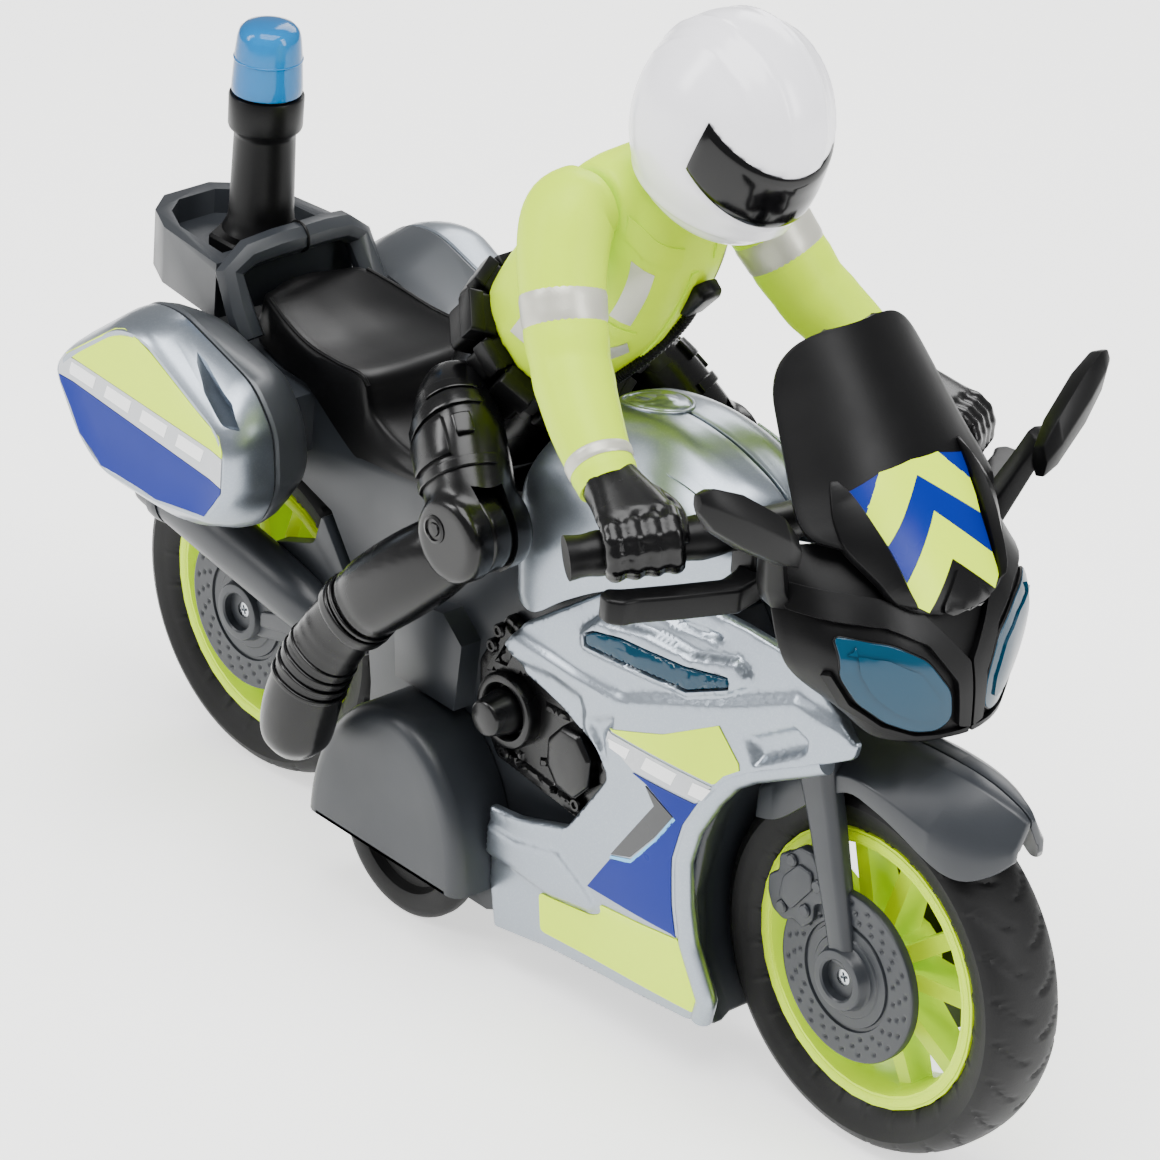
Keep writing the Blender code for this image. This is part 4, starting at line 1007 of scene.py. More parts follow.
def makeArms():
    def folds(t, angle):
        return sum(size * bump(t, at + 0.015 * math.sin(angle), 0.018) for at, size in sleeve["creases"])

    for word, side in sides:
        stations = [(x, y * -side, z, a, b) for x, y, z, a, b in sleeve["arm"]]
        arm = limb("sleeve_" + word, stations, steps=9, sides=36, ripple=folds)
        settle(arm, "neonCoat", "arm_" + word, ["rider_arm_" + word], 60)
        ringBand("upper_arm_tape_" + word, stations, 0.385, 0.475, 0.22, "strapGrey", "arm_" + word)
        ringBand("wrist_tape_" + word, stations, 0.845, 0.90, 0.25, "strapGrey", "arm_" + word)


makeArms()


glove = {"grip": (142.8, 40.0, 123.3), "along": (-0.50, -0.86, -0.12), "fingerR": 2.15}


def makeGloves():
    g = glove
    for word, side in sides:
        grip = Vector((g["grip"][0], g["grip"][1] * side, g["grip"][2]))
        along = Vector((g["along"][0], g["along"][1] * -side, g["along"][2])).normalized()
        forward = Vector((0.86, 0.50 * side, 0)).normalized()
        forward = (forward - along * forward.dot(along)).normalized()
        up = along.cross(forward)
        up = up if up.z > 0 else -up
        parts = []
        cuffStart = Vector((131.2, 38.0 * side, 131.8))
        knuckle = grip + up * 6.6 + forward * 2.2
        cuff = limb("cuff", [tuple(cuffStart) + (5.4, 4.6), tuple(cuffStart.lerp(knuckle, 0.35)) + (5.9, 4.3),
                             tuple(cuffStart.lerp(knuckle, 0.72)) + (6.9, 3.4), tuple(knuckle) + (7.2, 2.7)],
                    across=tuple(along), steps=4, sides=24, square=2.8)
        parts.append(cuff)
        for n in range(4):
            centre = grip + along * (-5.6 + 3.72 * n)
            path = [centre + up * 6.6 + forward * -0.5, centre + up * 6.6 + forward * 3.4,
                    centre + up * 4.4 + forward * 6.4, centre + up * 0.4 + forward * 7.0,
                    centre + up * -2.6 + forward * 5.6]
            fine = spline([tuple(p) for p in path], 6)
            radii = [g["fingerR"] * (1 + 0.08 * math.cos(k * 1.7)) * (0.86 if k > len(fine) - 3 else 1.0)
                     for k in range(len(fine))]
            parts.append(tube("finger", fine, radii, 12))
        thumb = spline([tuple(cuffStart.lerp(knuckle, 0.45) + along * -5.5 * 1.0),
                        tuple(grip + along * -7.6 + up * 4.6 + forward * -2.0),
                        tuple(grip + along * -7.2 + up * 2.2 + forward * 4.6)], 6)
        parts.append(tube("thumb", thumb, 2.1, 12))
        hand = fused("glove_" + word, parts, 0.62, 3)
        settle(hand, "glossBlack", "arm_" + word, ["rider_hand_" + word], 60)

makeGloves()
print("arms and gloves made")

legs = {
    "thigh": [(68.6, -16.2, 115.4, 7.4, 9.4), (70.6, -21.4, 115.8, 8.2, 9.7), (76.6, -25.2, 113.2, 8.4, 9.9),
              (83.4, -28.4, 107.4, 8.5, 9.4), (88.6, -30.9, 101.6, 8.2, 8.9), (90.8, -31.4, 98.8, 7.4, 7.2)],
    "shin": [(86.0, -31.2, 97.6, 5.2, 6.2), (81.2, -31.9, 92.8, 7.0, 7.7), (74.4, -33.0, 86.2, 8.1, 8.5),
             (66.6, -34.6, 78.6, 7.9, 8.3), (62.6, -35.4, 74.0, 6.9, 7.4), (57.4, -36.8, 66.8, 6.4, 7.0),
             (53.0, -38.5, 57.6, 6.6, 7.4), (50.4, -39.4, 48.0, 7.2, 7.9), (49.2, -39.5, 40.4, 6.9, 7.2),
             (48.8, -39.5, 36.6, 4.4, 4.6)],
    "knee": (89.0, 31.0, 100.5),
    "bands": [(0.44, 0.455, 0.75), (0.462, 0.50, 1.05), (0.62, 0.632, 0.55), (0.648, 0.66, 0.6),
              (0.676, 0.688, 0.6),
              (0.704, 0.716, 0.55)],  # start, end and height of the boot's rim and ankle folds
}


def panelOnLimb(name, stations, across, t0, t1, a0, a1, lift, rows=6, columns=8):
    # Raised moulded pad on a limb, between two fractions of its length and two angles in degrees
    path = spline(stations, 10)
    outer, inner = [], []
    for k in range(rows + 1):
        t = (t0 + (t1 - t0) * k / rows) * (len(path) - 1)
        lo, f = int(t), t - int(t)
        p = path[lo] * (1 - f) + path[min(lo + 1, len(path) - 1)] * f
        along = (Vector(path[min(lo + 1, len(path) - 1)][:3]) - Vector(path[max(lo - 1, 0)][:3])).normalized()
        side = (Vector(across) - along * Vector(across).dot(along)).normalized()
        other = along.cross(side)
        a, b = [], []
        for n in range(columns + 1):
            angle = math.radians(a0 + (a1 - a0) * n / columns)
            c, q = math.cos(angle), math.sin(angle)
            k2 = (abs(c) ** 2.2 + abs(q) ** 2.2) ** (-1 / 2.2)
            for ring, grow in ((a, lift), (b, -0.5)):
                ring.append(tuple(Vector(p[:3]) + side * c * k2 * (p[3] + grow) + other * q * k2
                                  * (p[4] + grow)))
        outer.append(a)
        inner.append(b)
    width = columns + 1
    verts = [v for row in outer for v in row] + [v for row in inner for v in row]
    block = (rows + 1) * width
    faces = []
    for base in (0, block):
        faces += [(base + r * width + c, base + r * width + c + 1, base + (r + 1) * width + c + 1,
                   base + (r + 1) * width + c) for r in range(rows) for c in range(columns)]
    border = [r * width for r in range(rows + 1)] + [rows * width + c for c in range(1, width)]
    border += [r * width + columns for r in range(rows - 1, -1, -1)] + list(range(columns - 1, 0, -1))
    faces += [(a, b, b + block, a + block) for a, b in zip(border, border[1:] + border[:1])]
    return solid(name, verts, faces)


def makeLegs():
    kx, ky, kz = legs["knee"]

    def ankle(t, angle):
        return sum(0.035 * bump(t, c, 0.008) for c in (0.565, 0.590, 0.615, 0.640, 0.665)) + 0.05 * bump(t,
            0.42, 0.012) \
            + 0.012 * math.sin(9 * t + 2 * angle)

    def cloth(t, angle):
        return 0.018 * math.sin(14 * t + 2 * angle) * (1 - t) + 0.03 * bump(t, 0.12, 0.03)

    for word, side in sides:
        def flip(rows):
            return [(r[0], r[1] * -side) + tuple(r[2:]) for r in rows]
        thighPath, shinPath = flip(legs["thigh"]), flip(legs["shin"])
        body = "thigh_" + word
        thigh = limb("thigh_form", thighPath, steps=8, sides=36, ripple=cloth)
        hip = turned("hip", [(0, -0.4), (8.6, -0.2), (9.4, 1.6), (9.2, 4.6), (7.4, 8.4), (0, 9.4)],
                     (69.0, 0, 114.5), "y", 36)
        for vertex in hip.data.vertices:
            vertex.co.y = (vertex.co.y + 15.7 * mm) * side
        cheeks = turned("cheeks",
                        [(0, -8.1), (7.6, -8.1), (8.8, -7.2), (9.0, -5), (9.0, 5), (8.8, 7.2), (7.6, 8.1),
                         (0, 8.1)], (kx, ky * side, kz), "y", 36)
        whole = fused("thigh_" + word + "_trousers", [thigh, hip, cheeks], 0.8, 4)
        slot = turned("slot", [(0, -3.1), (11.4, -3.1), (11.4, 3.1), (0, 3.1)], (kx, ky * side, kz), "y", 36)
        cut = whole.modifiers.new("slot", "BOOLEAN")
        cut.object, cut.operation, cut.solver = slot, "DIFFERENCE", "EXACT"
        applied(whole)
        bpy.data.objects.remove(slot, do_unlink=True)
        settle(whole, "glossBlack", body, ["rider_thigh_" + word], 50)
        pads = []
        face = 180 if side < 0 else 0
        outward = (0, 1, 0)
        for t0, t1, a0, a1, lift in ((0.30, 0.36, -58, 96, 0.75), (0.545, 0.59, -58, 96, 0.75),
                                     (0.38, 0.525, -34, 40, 0.85), (0.40, 0.47, 52, 74, 1.1),
                                     (0.24, 0.29, 30, 100, 0.6), (0.20, 0.52, -92, -70, 0.6)):
            spin = 1 if side > 0 else -1
            lo, hi = face + spin * a0, face + spin * a1
            pads.append(bevelled(panelOnLimb("pad", thighPath, outward, t0, t1, lo, hi, lift),
                                 0.25, 2))
        settle(joined("thigh_straps_" + word, pads), "glossBlack", body, (), 40)
        pin = turned("knee_pin_" + word,
                     [(0, 0.2), (2.9, 0.2), (2.9, 0.7), (2.3, 0.9), (2.1, 0.4), (1.5, 0.4), (1.3, 0.8),
                      (0, 0.9)], (0, 0, 0), "y", 28)
        for vertex in pin.data.vertices:
            vertex.co = Vector((vertex.co.x + (kx - 3.0) * mm, (vertex.co.y + (ky + 7.6) * mm) * side,
                                vertex.co.z + (kz + 1.6) * mm))
        settle(pin, "glossBlack", body, (), 35)

        body = "shin_" + word
        lower = limb("lower", shinPath, steps=9, sides=36, ripple=ankle)
        tongue = turned("tongue", [(0, -2.7), (8.0, -2.7), (8.5, -2.2), (8.5, 2.2), (8.0, 2.7), (0, 2.7)],
                        (kx, ky * side, kz), "y", 36)
        neck = loft("neck", [oval((kx - d, ky * side, kz - d), (-1, 0, -1), (0, 1, 0), 2.7, 4.6, 20,
                                  3) for d in (3, 11)])
        whole = fused("shin_" + word + "_boot", [lower, tongue, neck], 0.62, 2)
        settle(whole, "glossBlack", body, ["rider_shin_" + word], 50)
        bands = []
        for start, end, grow in legs["bands"]:
            bands.append(bevelled(ringBand("band", shinPath, start, end, grow, "glossBlack", body), 0.2, 2, 40))
        settle(joined("boot_bands_" + word, bands), "glossBlack", body, (), 45)


makeLegs()


def makePelvis():
    hips = limb("hips_form",
                [(62.5, 0, 100.2, 9.0, 6.4), (64.6, 0, 106.0, 13.6, 11.2), (67.0, 0, 114.0, 14.9, 13.6),
                 (70.2, 0, 121.6, 14.8, 14.2), (74.2, 0, 128.6, 14.6, 14.4)], steps=8, sides=40,
                square=2.6)
    settle(hips, "glossBlack", "body", ["rider_pelvis"], 60)
    axis = Vector((0.66, 0, 0.75)).normalized()
    centre = Vector((73.4, 0, 127.4))
    rings = []
    for offset, grow in ((-2.6, 0.4), (-2.3, 1.2), (2.3, 1.2), (2.6, 0.4), (2.4, -0.6), (-2.4, -0.6)):
        rings.append(oval(centre + axis * offset, axis, (0, 1, 0), 14.9 + grow, 14.7 + grow, 60, 2.6))
    strap = loft("duty_belt", rings, closed=True)
    settle(strap, "satinBlack", "body", (), 35)
    front = axis.cross(Vector((0, 1, 0)))
    front = front if front.x > 0 else -front
    pouches = []
    for degrees, wide, tall, deep in ((-62, 3.6, 4.6, 3.2), (-88, 3.2, 4.2, 2.6), (-118, 4.4, 5.0, 3.4),
                                      (-150, 3.4, 4.4, 2.6),
                                      (180, 4.6, 3.6, 2.4), (150, 3.4, 4.4, 2.6), (118, 4.4, 5.0, 3.4),
                                      (88, 3.2, 4.2, 2.6),
                                      (62, 3.6, 4.6, 3.2), (-30, 3.0, 3.4, 1.8), (30, 3.0, 3.4, 1.8),
                                      (0, 3.2, 2.9, 1.6)):
        t = math.radians(degrees)
        out = (front * math.cos(t) + Vector((0, 1, 0)) * math.sin(t)).normalized()
        along = axis.cross(out).normalized()
        k = (abs(math.cos(t)) ** 2.6 + abs(math.sin(t)) ** 2.6) ** (-1 / 2.6)
        spot = centre + out * (15.6 * k)
        rings = []
        shape = rounded([(-wide, -tall), (wide, -tall), (wide, tall), (-wide, tall)], 1.0)
        for depth, grow in ((-2.0, 1.0), (deep * 0.7, 1.0), (deep, 0.82)):
            rings.append([spot + out * depth + along * (a * grow) + axis * (b * grow - 0.6) for a,
                          b in shape])
        pouches.append(bevelled(loft("pouch", rings), 0.35))
        flap = rounded([(-wide - 0.25, 0.6), (wide + 0.25, 0.6), (wide + 0.25, tall + 0.3),
                        (-wide - 0.25, tall + 0.3)], 0.7)
        rings = [[spot + out * depth + along * a + axis * (b - 0.6) for a,
                  b in flap] for depth in (deep * 0.2, deep + 0.45)]
        pouches.append(bevelled(loft("flap", rings), 0.25))
    settle(joined("belt_pouches", pouches), "satinBlack", "body", (), 35)


makePelvis()
print("legs and belt made")

# ---- panniers ----
pannier = {
    "face": [(-25.6, 94), (-22.5, 98.6), (-6, 111.2), (3, 112.4), (27.4, 101), (30.6, 96), (30.8, 86.6),
             (25, 78.6), (8, 75.8), (-10, 76), (-17.6, 81), (-24.6, 91)],
    "seam": [(-24.5, 97), (-20, 102.5), (-7, 113), (2, 114), (25, 107), (32, 99), (33.5, 86),
             (29, 77), (12, 70), (-6, 71), (-16, 77.5), (-23.5, 90)],
    "back": [(-19, 97), (-16, 101), (-8, 108), (1, 109), (21, 104.5), (27, 97), (29.5, 86),
             (23, 76), (10, 73), (-4, 74), (-12, 79.5), (-18, 90)],
    "facet": [(9.5, 113.2), (25.8, 105.2), (30.4, 99.6), (27.2, 99.4), (19.4, 104.4)],
}


def makePanniers():
    p = pannier
    for word, side in sides:
        def ring(outline, y, shrink=0.0, radius=4.0):
            line = rounded(outline, radius, 4)
            line = offsetLine(line, shrink) if shrink else line
            return [(x, side * y, z) for x, z in line]

        def between(a, b, t):
            return [(u[0] * (1 - t) + v[0] * t, u[1] * (1 - t) + v[1] * t) for u, v in zip(a, b)]
        shell = loft("pannier_lid_" + word, [
            ring(p["seam"], 34.3, 1.2), ring(p["seam"], 34.3, 0.35), ring(p["seam"], 34.7, 0.0),
            ring(between(p["seam"], p["face"], 0.18), 37.0, -0.35),
            ring(between(p["seam"], p["face"], 0.5), 40.2, -0.45),
            ring(between(p["seam"], p["face"], 0.82), 42.7, -0.3), ring(p["face"], 44.2, 0.1),
            ring(p["face"], 45.0, 1.0),
            ring(p["face"], 45.0, 1.7), ring(p["face"], 44.55, 2.3), ring(p["face"], 44.5, 4.0)])
        tool = [(x, z) for x, z in p["facet"]]
        cutter = loft("facet_tool", [[(x, side * 46.0, z + 2.6) for x, z in rounded(tool, 0.8)],
                                     [(x, side * 38.4, z - 1.0) for x,
                                      z in rounded(offsetLine(tool, 0.7), 0.6)]])
        cut = shell.modifiers.new("facet", "BOOLEAN")
        cut.object, cut.operation, cut.solver = cutter, "DIFFERENCE", "EXACT"
        applied(shell)
        bpy.data.objects.remove(cutter, do_unlink=True)
        settle(shell, "silver", "body", ["pannier_shell_" + word], 32)
        inner = loft("pannier_base_" + word, [
            ring(p["seam"], 34.0, 0.9), ring(p["seam"], 33.9, 0.2), ring(p["seam"], 33.2, -0.1),
            ring(between(p["seam"], p["back"], 0.45), 29.0, -0.7),
            ring(between(p["seam"], p["back"], 0.85), 25.2, -0.6),
            ring(p["back"], 22.6, 0.2), ring(p["back"], 21.3, 1.4), ring(p["back"], 21.1, 4.0)])
        settle(inner, "caseGrey", "body", ["pannier_back_" + word], 40)
        tree = wrapTree(shell)
        line = lambda o: [(-side * x, z) for x, z in o]
        label("pannier_label_" + word, [(line(o), look) for o, look in pannierLabels], [tree], (0, 0, 0),
              (-side, 0, 0),
              (0, 0, 1), "body", 0.08, 0.08, 4.0)
        label("pannier_dashes_" + word, [(line(o), "labelWhite") for o in pannierDashes], [tree], (0, 0, 0),
              (-side, 0, 0), (0, 0, 1), "body", 0.18, 0.08, 4.0)


pannierLabels = [
    ([(-21.9, 98.0), (-6.3, 109.8), (-3.4, 110.9), (1.4, 110.4), (27.4, 99.4), (28.9, 96.6), (28.9, 95.2)],
     "labelYellow"),
    ([(-23.6, 93.0), (-23.7, 94.6), (-21.9, 97.8), (28.9, 95.0), (28.9, 88.6)], "labelGrey"),
    ([(-23.6, 92.8), (28.9, 88.4), (28.9, 87.2), (24.2, 80.3), (9.0, 77.7), (-9.0, 77.9), (-16.2, 82.3),
      (-22.9, 91.4)],
     "labelBlue"),
]
pannierDashes = [[(-20.0, 96.9), (-12.0, 96.5), (-12.9, 93.6), (-20.9, 94.0)],
                 [(-8.3, 96.2), (-0.4, 95.8), (-1.4, 92.8), (-9.3, 93.3)],
                 [(3.3, 95.5), (11.3, 95.1), (10.3, 92.1), (2.3, 92.5)],
                 [(14.9, 94.8), (22.9, 94.4), (21.9, 91.4), (13.9, 91.8)],
                 [(26.2, 94.2), (28.8, 94.1), (28.8, 91.2), (25.2, 91.3)]]


makePanniers()
print("panniers packed")

# ---- windscreen, nose and headlights ----
screen = {
    "spine": [(93.0, 192.8), (118.4, 190.2), (120.9, 189.0), (126.5, 185.1), (133.7, 179.5), (139.2, 174.0),
              (163.2, 154.8)],
    "rows": [(163.2, 6.5), (162.5, 11.0), (161.0, 14.6), (158.6, 17.4), (155.0, 19.4), (150.5, 20.7),
             (145.5, 22.0),
             (140.5, 23.4), (136.6, 24.3), (134.2, 23.6), (132.6, 20.6), (131.0, 18.0), (127.5, 16.4),
             (123.0, 14.2),
             (120.4, 10.8), (119.0, 6.0)],
    # how fast the pane falls back sideways, at its foot and at its top
    "curve": (0.0125, 0.0195), "wall": 1.5,
}
noseRows = [
    [(175.4, 0, 131.0), (174.2, 8, 130.6), (170.8, 16, 129.6), (165.4, 23, 128.4), (159.6, 26.8, 128.0)],
    [(182.4, 0, 123.5), (181.8, 8, 123.5), (179.6, 16, 122.5), (174.2, 24, 121.0), (165.6, 28.4, 120.5)],
    [(188.6, 0, 114.5), (188.0, 8, 114.5), (186.2, 16, 114.0), (181.0, 25, 113.0), (170.4, 29.4, 111.5)],
    [(192.0, 0, 105.0), (191.2, 7, 104.5), (188.8, 14, 104.0), (183.4, 21.6, 104.0), (172.6, 26.4, 105.0)],
    [(192.8, 0, 93.8), (191.6, 6, 93.4), (188.4, 12, 93.4), (183.8, 16.6, 94.4), (177.8, 18.6, 98.0)],
]
chevrons = [
    ([(-15.6, 138.4), (-7.6, 141.0), (-13.6, 135.2)], "labelBlue"),
    ([(7.6, 141.0), (15.6, 138.4), (13.6, 135.2)], "labelBlue"),
    ([(-7.6, 141.1), (0, 141.8), (7.6, 141.1), (13.7, 135.3), (12.0, 130.6), (0, 139.5), (-12.0, 130.6),
      (-13.7, 135.3)],
     "labelYellow"),
    ([(0, 139.4), (12.0, 130.5), (11.2, 124.6), (0, 134.3), (-11.2, 124.6), (-12.0, 130.5)], "labelBlue"),
    ([(0, 134.2), (11.2, 124.5), (11.2, 121.2), (8.6, 119.6), (0, 126.8), (-8.6, 119.6), (-11.2, 121.2),
      (-11.2, 124.5)],
     "labelYellow"),
]
fins = [  # |y| of the inner and outer edges, height, rise of the ridge
    (15.6, 16.4, 140.4, 0.5), (14.9, 17.6, 138.0, 2.2), (13.9, 19.0, 134.6, 2.9), (12.8, 19.2, 130.6, 3.0),
    (12.0, 18.2, 126.8, 2.8),
    (11.5, 16.6, 123.2, 2.5), (10.8, 14.2, 120.6, 1.7), (10.0, 11.6, 118.8, 0.6)]
brow = [(-27.4, 118.4), (-16.0, 116.8), (-9.0, 113.0), (-3.6, 105.4), (-2.9, 96.4), (-0.25, 95.6),
        (-0.25, 108.4),
        (-3.4, 112.2), (-8.6, 118.2), (-15.4, 121.2), (-26.6, 122.8)]
chinLine = [(-25.8, 108.6), (-21.9, 101.9), (-16.2, 96.9), (-10.2, 94.5), (-0.25, 94.4), (-0.25, 95.5),
            (-6.4, 95.3),
            (-10.8, 95.6), (-16.3, 98.0), (-21.4, 102.7), (-25.0, 109.0)]
headlight = [(-24.6, 116.0), (-15.6, 114.0), (-9.2, 110.2), (-4.6, 103.6), (-4.1, 98.2), (-6.6, 96.0),
             (-11.0, 96.2),
             (-16.0, 98.6), (-21.0, 103.2), (-24.2, 109.0)]


def makeScreen():
    heights, spots = zip(*screen["spine"])
    rows = []
    for z, half in screen["rows"]:
        x = float(np.interp(z, heights, spots))
        curve = float(np.interp(z, (132, 156), screen["curve"]))
        row = []
        for k in range(-6, 7):
            y = half * k / 6
            row.append((x - curve * y * y - 0.06 * abs(y) * max(0, (136 - z) / 40), y, z - 0.004 * y * y))
        rows.append(row)
    pane = skin("windscreen_pane", smoothGrid(rows, 3, 4), screen["wall"])
    bevelled(pane, 0.45, 2, 50)
    settle(pane, "satinBlack", "body", ["windscreen"], 45)
    tree = wrapTree(pane)
    label("screen_chevrons", chevrons, [tree], (200, 0, 0), (0, 1, 0), (0, 0, 1), "body", 0.08,
          0.08, 2.0)
    for word, side in sides:
        rings = []
        for inner, outer, z, rise in fins:
            foot = []
            for y in (inner, inner * 0.75 + outer * 0.25, outer):
                hit = tree.ray_cast(place(240, side * y, z), Vector((-1, 0, 0)), 0.2)
                near = hit if hit[0] is not None else tree.find_nearest(place(185, side * y, z))
                foot.append(((near[0].x - rearX) / mm, near[0].y / mm, near[0].z / mm))
            (ax, ay, az), (mx, my, mz), (bx, by, bz) = foot
            rings.append([(ax - 0.8, ay, az - 0.6), (ax + rise * 0.3, ay, az + rise * 0.25),
                          (mx + rise * 0.8, my, mz + rise * 0.7),
                          (bx + rise * 0.15, by + side * 0.4, bz + rise * 0.1),
                          (bx - 1.2, by + side * 0.2, bz - 0.9)])
        fin = bevelled(columnsLoft("screen_fin_" + word, rings, 3), 0.22, 2, 20)
        settle(fin, "satinBlack", "body", (), 24)
    label("screen_badge_plate", [(rounded([(0, 125.2), (5.9, 119.9), (4.2, 113.4), (0, 110.8), (-4.2, 113.4),
                                           (-5.9, 119.9)], 0.8), "glossBlack")], [tree], (200, 0, 0),
          (0, 1, 0), (0, 0, 1),
          "body", 0.05, 0.8, 2.0)


def makeNose():
    rows = [[(x, -y, z) for x, y, z in reversed(row)] + row[1:] for row in noseRows]
    cowl = skin("nose_cowl", smoothGrid(rows, 5, 7), 2.0)
    bevelled(cowl, 0.5, 2, 50)
    settle(cowl, "satinBlack", "body", ["nose_fairing"], 45)
    tree = wrapTree(cowl)
    for word, side in sides:
        outline = rounded([(-side * y, z) for y, z in headlight], 1.6, 4)
        lens = label("headlight_glass_" + word, [(outline, "lensBlue")], [tree], (200, 0, 0), (0, 1, 0),
                     (0, 0, 1), "body",
                     0.05, 0.75, 1.6)
        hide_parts("headlight_" + word)
        bevelled(lens, 0.45, 3, 50)
        path = []
        for y, z in resampled(outline, 1.0):
            hit = tree.ray_cast(place(230, y, z), Vector((-1, 0, 0)), 0.2)
            if hit[0] is None:
                hit = tree.find_nearest(place(180, y, z))
            q = hit[0] + hit[1] * 0.25 * mm
            path.append(((q.x - rearX) / mm, q.y / mm, q.z / mm))
        rim = tube("headlight_bezel_" + word, path, 0.42, 8, True)
        settle(rim, "satinBlack", "body", (), 60)
        inner = label("headlight_swirl_" + word, [(offsetLine(outline, 2.6), "lensBlue")], [tree],
                      (200, 0, 0), (0, 1, 0),
                      (0, 0, 1), "body", 0.75, 0.45, 1.4)
        bevelled(inner, 0.4, 3, 50)
        hood = [(-side * y, z) for y, z in rounded(brow, 0.5)]
        ridge = label("headlight_brow_" + word, [(hood, "satinBlack")], [tree], (200, 0, 0), (0, 1, 0),
                      (0, 0, 1), "body",
                      0.05, 1.5, 1.6)
        bevelled(ridge, 0.55, 3, 45)
        lower = [(-side * y, z) for y, z in rounded(chinLine, 0.4)]
        lip = label("headlight_lip_" + word, [(lower, "satinBlack")], [tree], (200, 0, 0), (0, 1, 0),
                    (0, 0, 1), "body",
                    0.05, 1.1, 1.6)
        bevelled(lip, 0.45, 3, 45)


makeScreen()
makeNose()
print("nose and screen made")

# ---- tank, seat, rack and beacon ----
tank = {
    "stations": [  # x, skirt z, half width, side z, shoulder z, crown z
        (88.5, 84.0, 18.8, 106.0, 112.0, 115.0), (91.0, 82.0, 20.0, 108.0, 116.4, 120.0),
        (96.0, 82.5, 20.8, 109.0, 119.4, 124.0), (104.0, 88.6, 21.1, 110.0, 121.2, 126.4),
        (115.0, 95.5, 20.8, 111.0, 122.0, 127.7), (126.0, 99.8, 20.2, 113.0, 121.4, 126.6),
        (135.0, 103.0, 18.8, 114.0, 119.4, 124.0), (140.5, 106.5, 16.4, 113.6, 117.8, 121.4),
        (143.0, 109.0, 14.4, 113.2, 116.6, 119.4)],
    "wall": 1.8,
}


def makeTank():
    for word, side in sides:
        rows = []
        for x, low, half, middle, shoulder, top in tank["stations"]:
            line = [(half - 0.6, low), (half + 0.1, (low + middle) / 2), (half, middle),
                    (half - 1.9, (middle + shoulder) / 2 + 1.0),
                    (half - 6.2, shoulder + 0.5), (half - 12.4, top - 0.7), (0.35, top)]
            rows.append([(x, side * y, z) for y, z in line])
        half = skin("tank_shell_" + word, smoothGrid(rows, 5, 4), tank["wall"])
        bevelled(half, 0.35, 2, 55)
        settle(half, "silver", "body", ["tank_" + word], 40)
        tree = wrapTree(half)
        line = lambda o: [(x, side * y) for x, y in o]
        strip = [(119.5, 12.4), (123, 14.2), (136.5, 12.9), (139.0, 10.6), (136.0, 11.4), (123, 12.6)]
        ridge = label("tank_crease_" + word, [(rounded(line(strip), 0.5), "silver")], [tree], (0, 0, 130),
                      (1, 0, 0), (0, 1, 0),
                      "body", 0.02, 0.5, 2.0)
        bevelled(ridge, 0.25, 2, 40)
    cap = []
    tree = wrapTree(bpy.data.objects["tank_shell_left"])
    for n in range(48):
        t = 2 * math.pi * n / 48
        x, y = 104.6 + 8.4 * math.cos(t), 5.4 * math.sin(t)
        hit = tree.ray_cast(place(x, max(abs(y), 0.5), 150), Vector((0, 0, -1)), 0.1)
        z = hit[0].z / mm if hit[0] else 126.0
        cap.append((x, y, z))
    settle(tube("fuel_cap_rim", cap, 0.5, 8, True), "silver", "body", (), 60)
    centre = (104.6, 0.0)
    rings = []
    for shrink, rise in ((1.0, -0.7), (0.97, 0.1), (0.80, 0.75), (0.62, 0.45), (0.55, 0.75), (0.2, 0.9)):
        rings.append([(centre[0] + (x - centre[0]) * shrink, y * shrink, z + rise) for x, y, z in cap])
    settle(loft("fuel_cap", rings), "silver", "body", (), 50)


makeTank()


def makeSeat():
    stations = [  # x, half width at the bottom, at the rim, bottom z, rim z, middle z
        (-1.8, 10.8, 8.6, 101.2, 110.0, 111.6), (0.6, 12.4, 11.6, 101.0, 111.6, 111.8),
        (4.0, 13.4, 13.6, 100.8, 112.0, 111.3),
        (12.0, 15.6, 15.6, 100.7, 110.4, 108.8), (20.5, 16.7, 16.8, 100.7, 109.0, 107.4),
        (30.0, 16.9, 17.3, 95.0, 109.0, 107.6),
        (36.6, 16.9, 17.2, 91.2, 109.3, 108.2), (39.0, 16.9, 16.9, 91.4, 107.4, 106.2),
        (40.6, 16.9, 16.5, 91.5, 102.4, 101.0),
        (46.0, 16.9, 16.0, 92.0, 98.8, 98.0), (54.0, 16.8, 15.2, 92.7, 97.2, 96.9),
        (68.0, 15.9, 13.4, 93.8, 97.4, 97.6),
        (86.0, 11.8, 9.4, 95.7, 100.8, 101.8)]
    rings = []
    for x, base, edge, low, rim, middle in stations:
        half = [(base, low), (base + 0.05, low * 0.6 + rim * 0.4), (edge + 0.15, rim - 1.3),
                (edge - 0.35, rim - 0.25),
                (edge - 1.4, rim), (edge * 0.72, rim * 0.45 + middle * 0.55), (edge * 0.36, middle + 0.05)]
        rings.append([(x, -y, z) for y, z in half] + [(x, 0, middle)] + [(x, y, z) for y,
            z in reversed(half)])
    fine = smoothGrid([[tuple(q) for q in ring] for ring in rings], 2, 3)
    pad = loft("seat_pad", [[tuple(q) for q in ring] for ring in fine])
    settle(pad, "satinBlack", "body", ["seat"], 40)
    path = []
    for x, base, edge, low, rim, middle in stations[2:8]:
        path.append((x, edge - 0.75, rim + 0.05))
    for word, side in sides:
        bead = tube("seat_piping_" + word,
                    [tuple(q) for q in spline([(x, side * y, z) for x, y, z in path], 6)], 0.42, 8)
        settle(bead, "satinBlack", "body", (), 60)


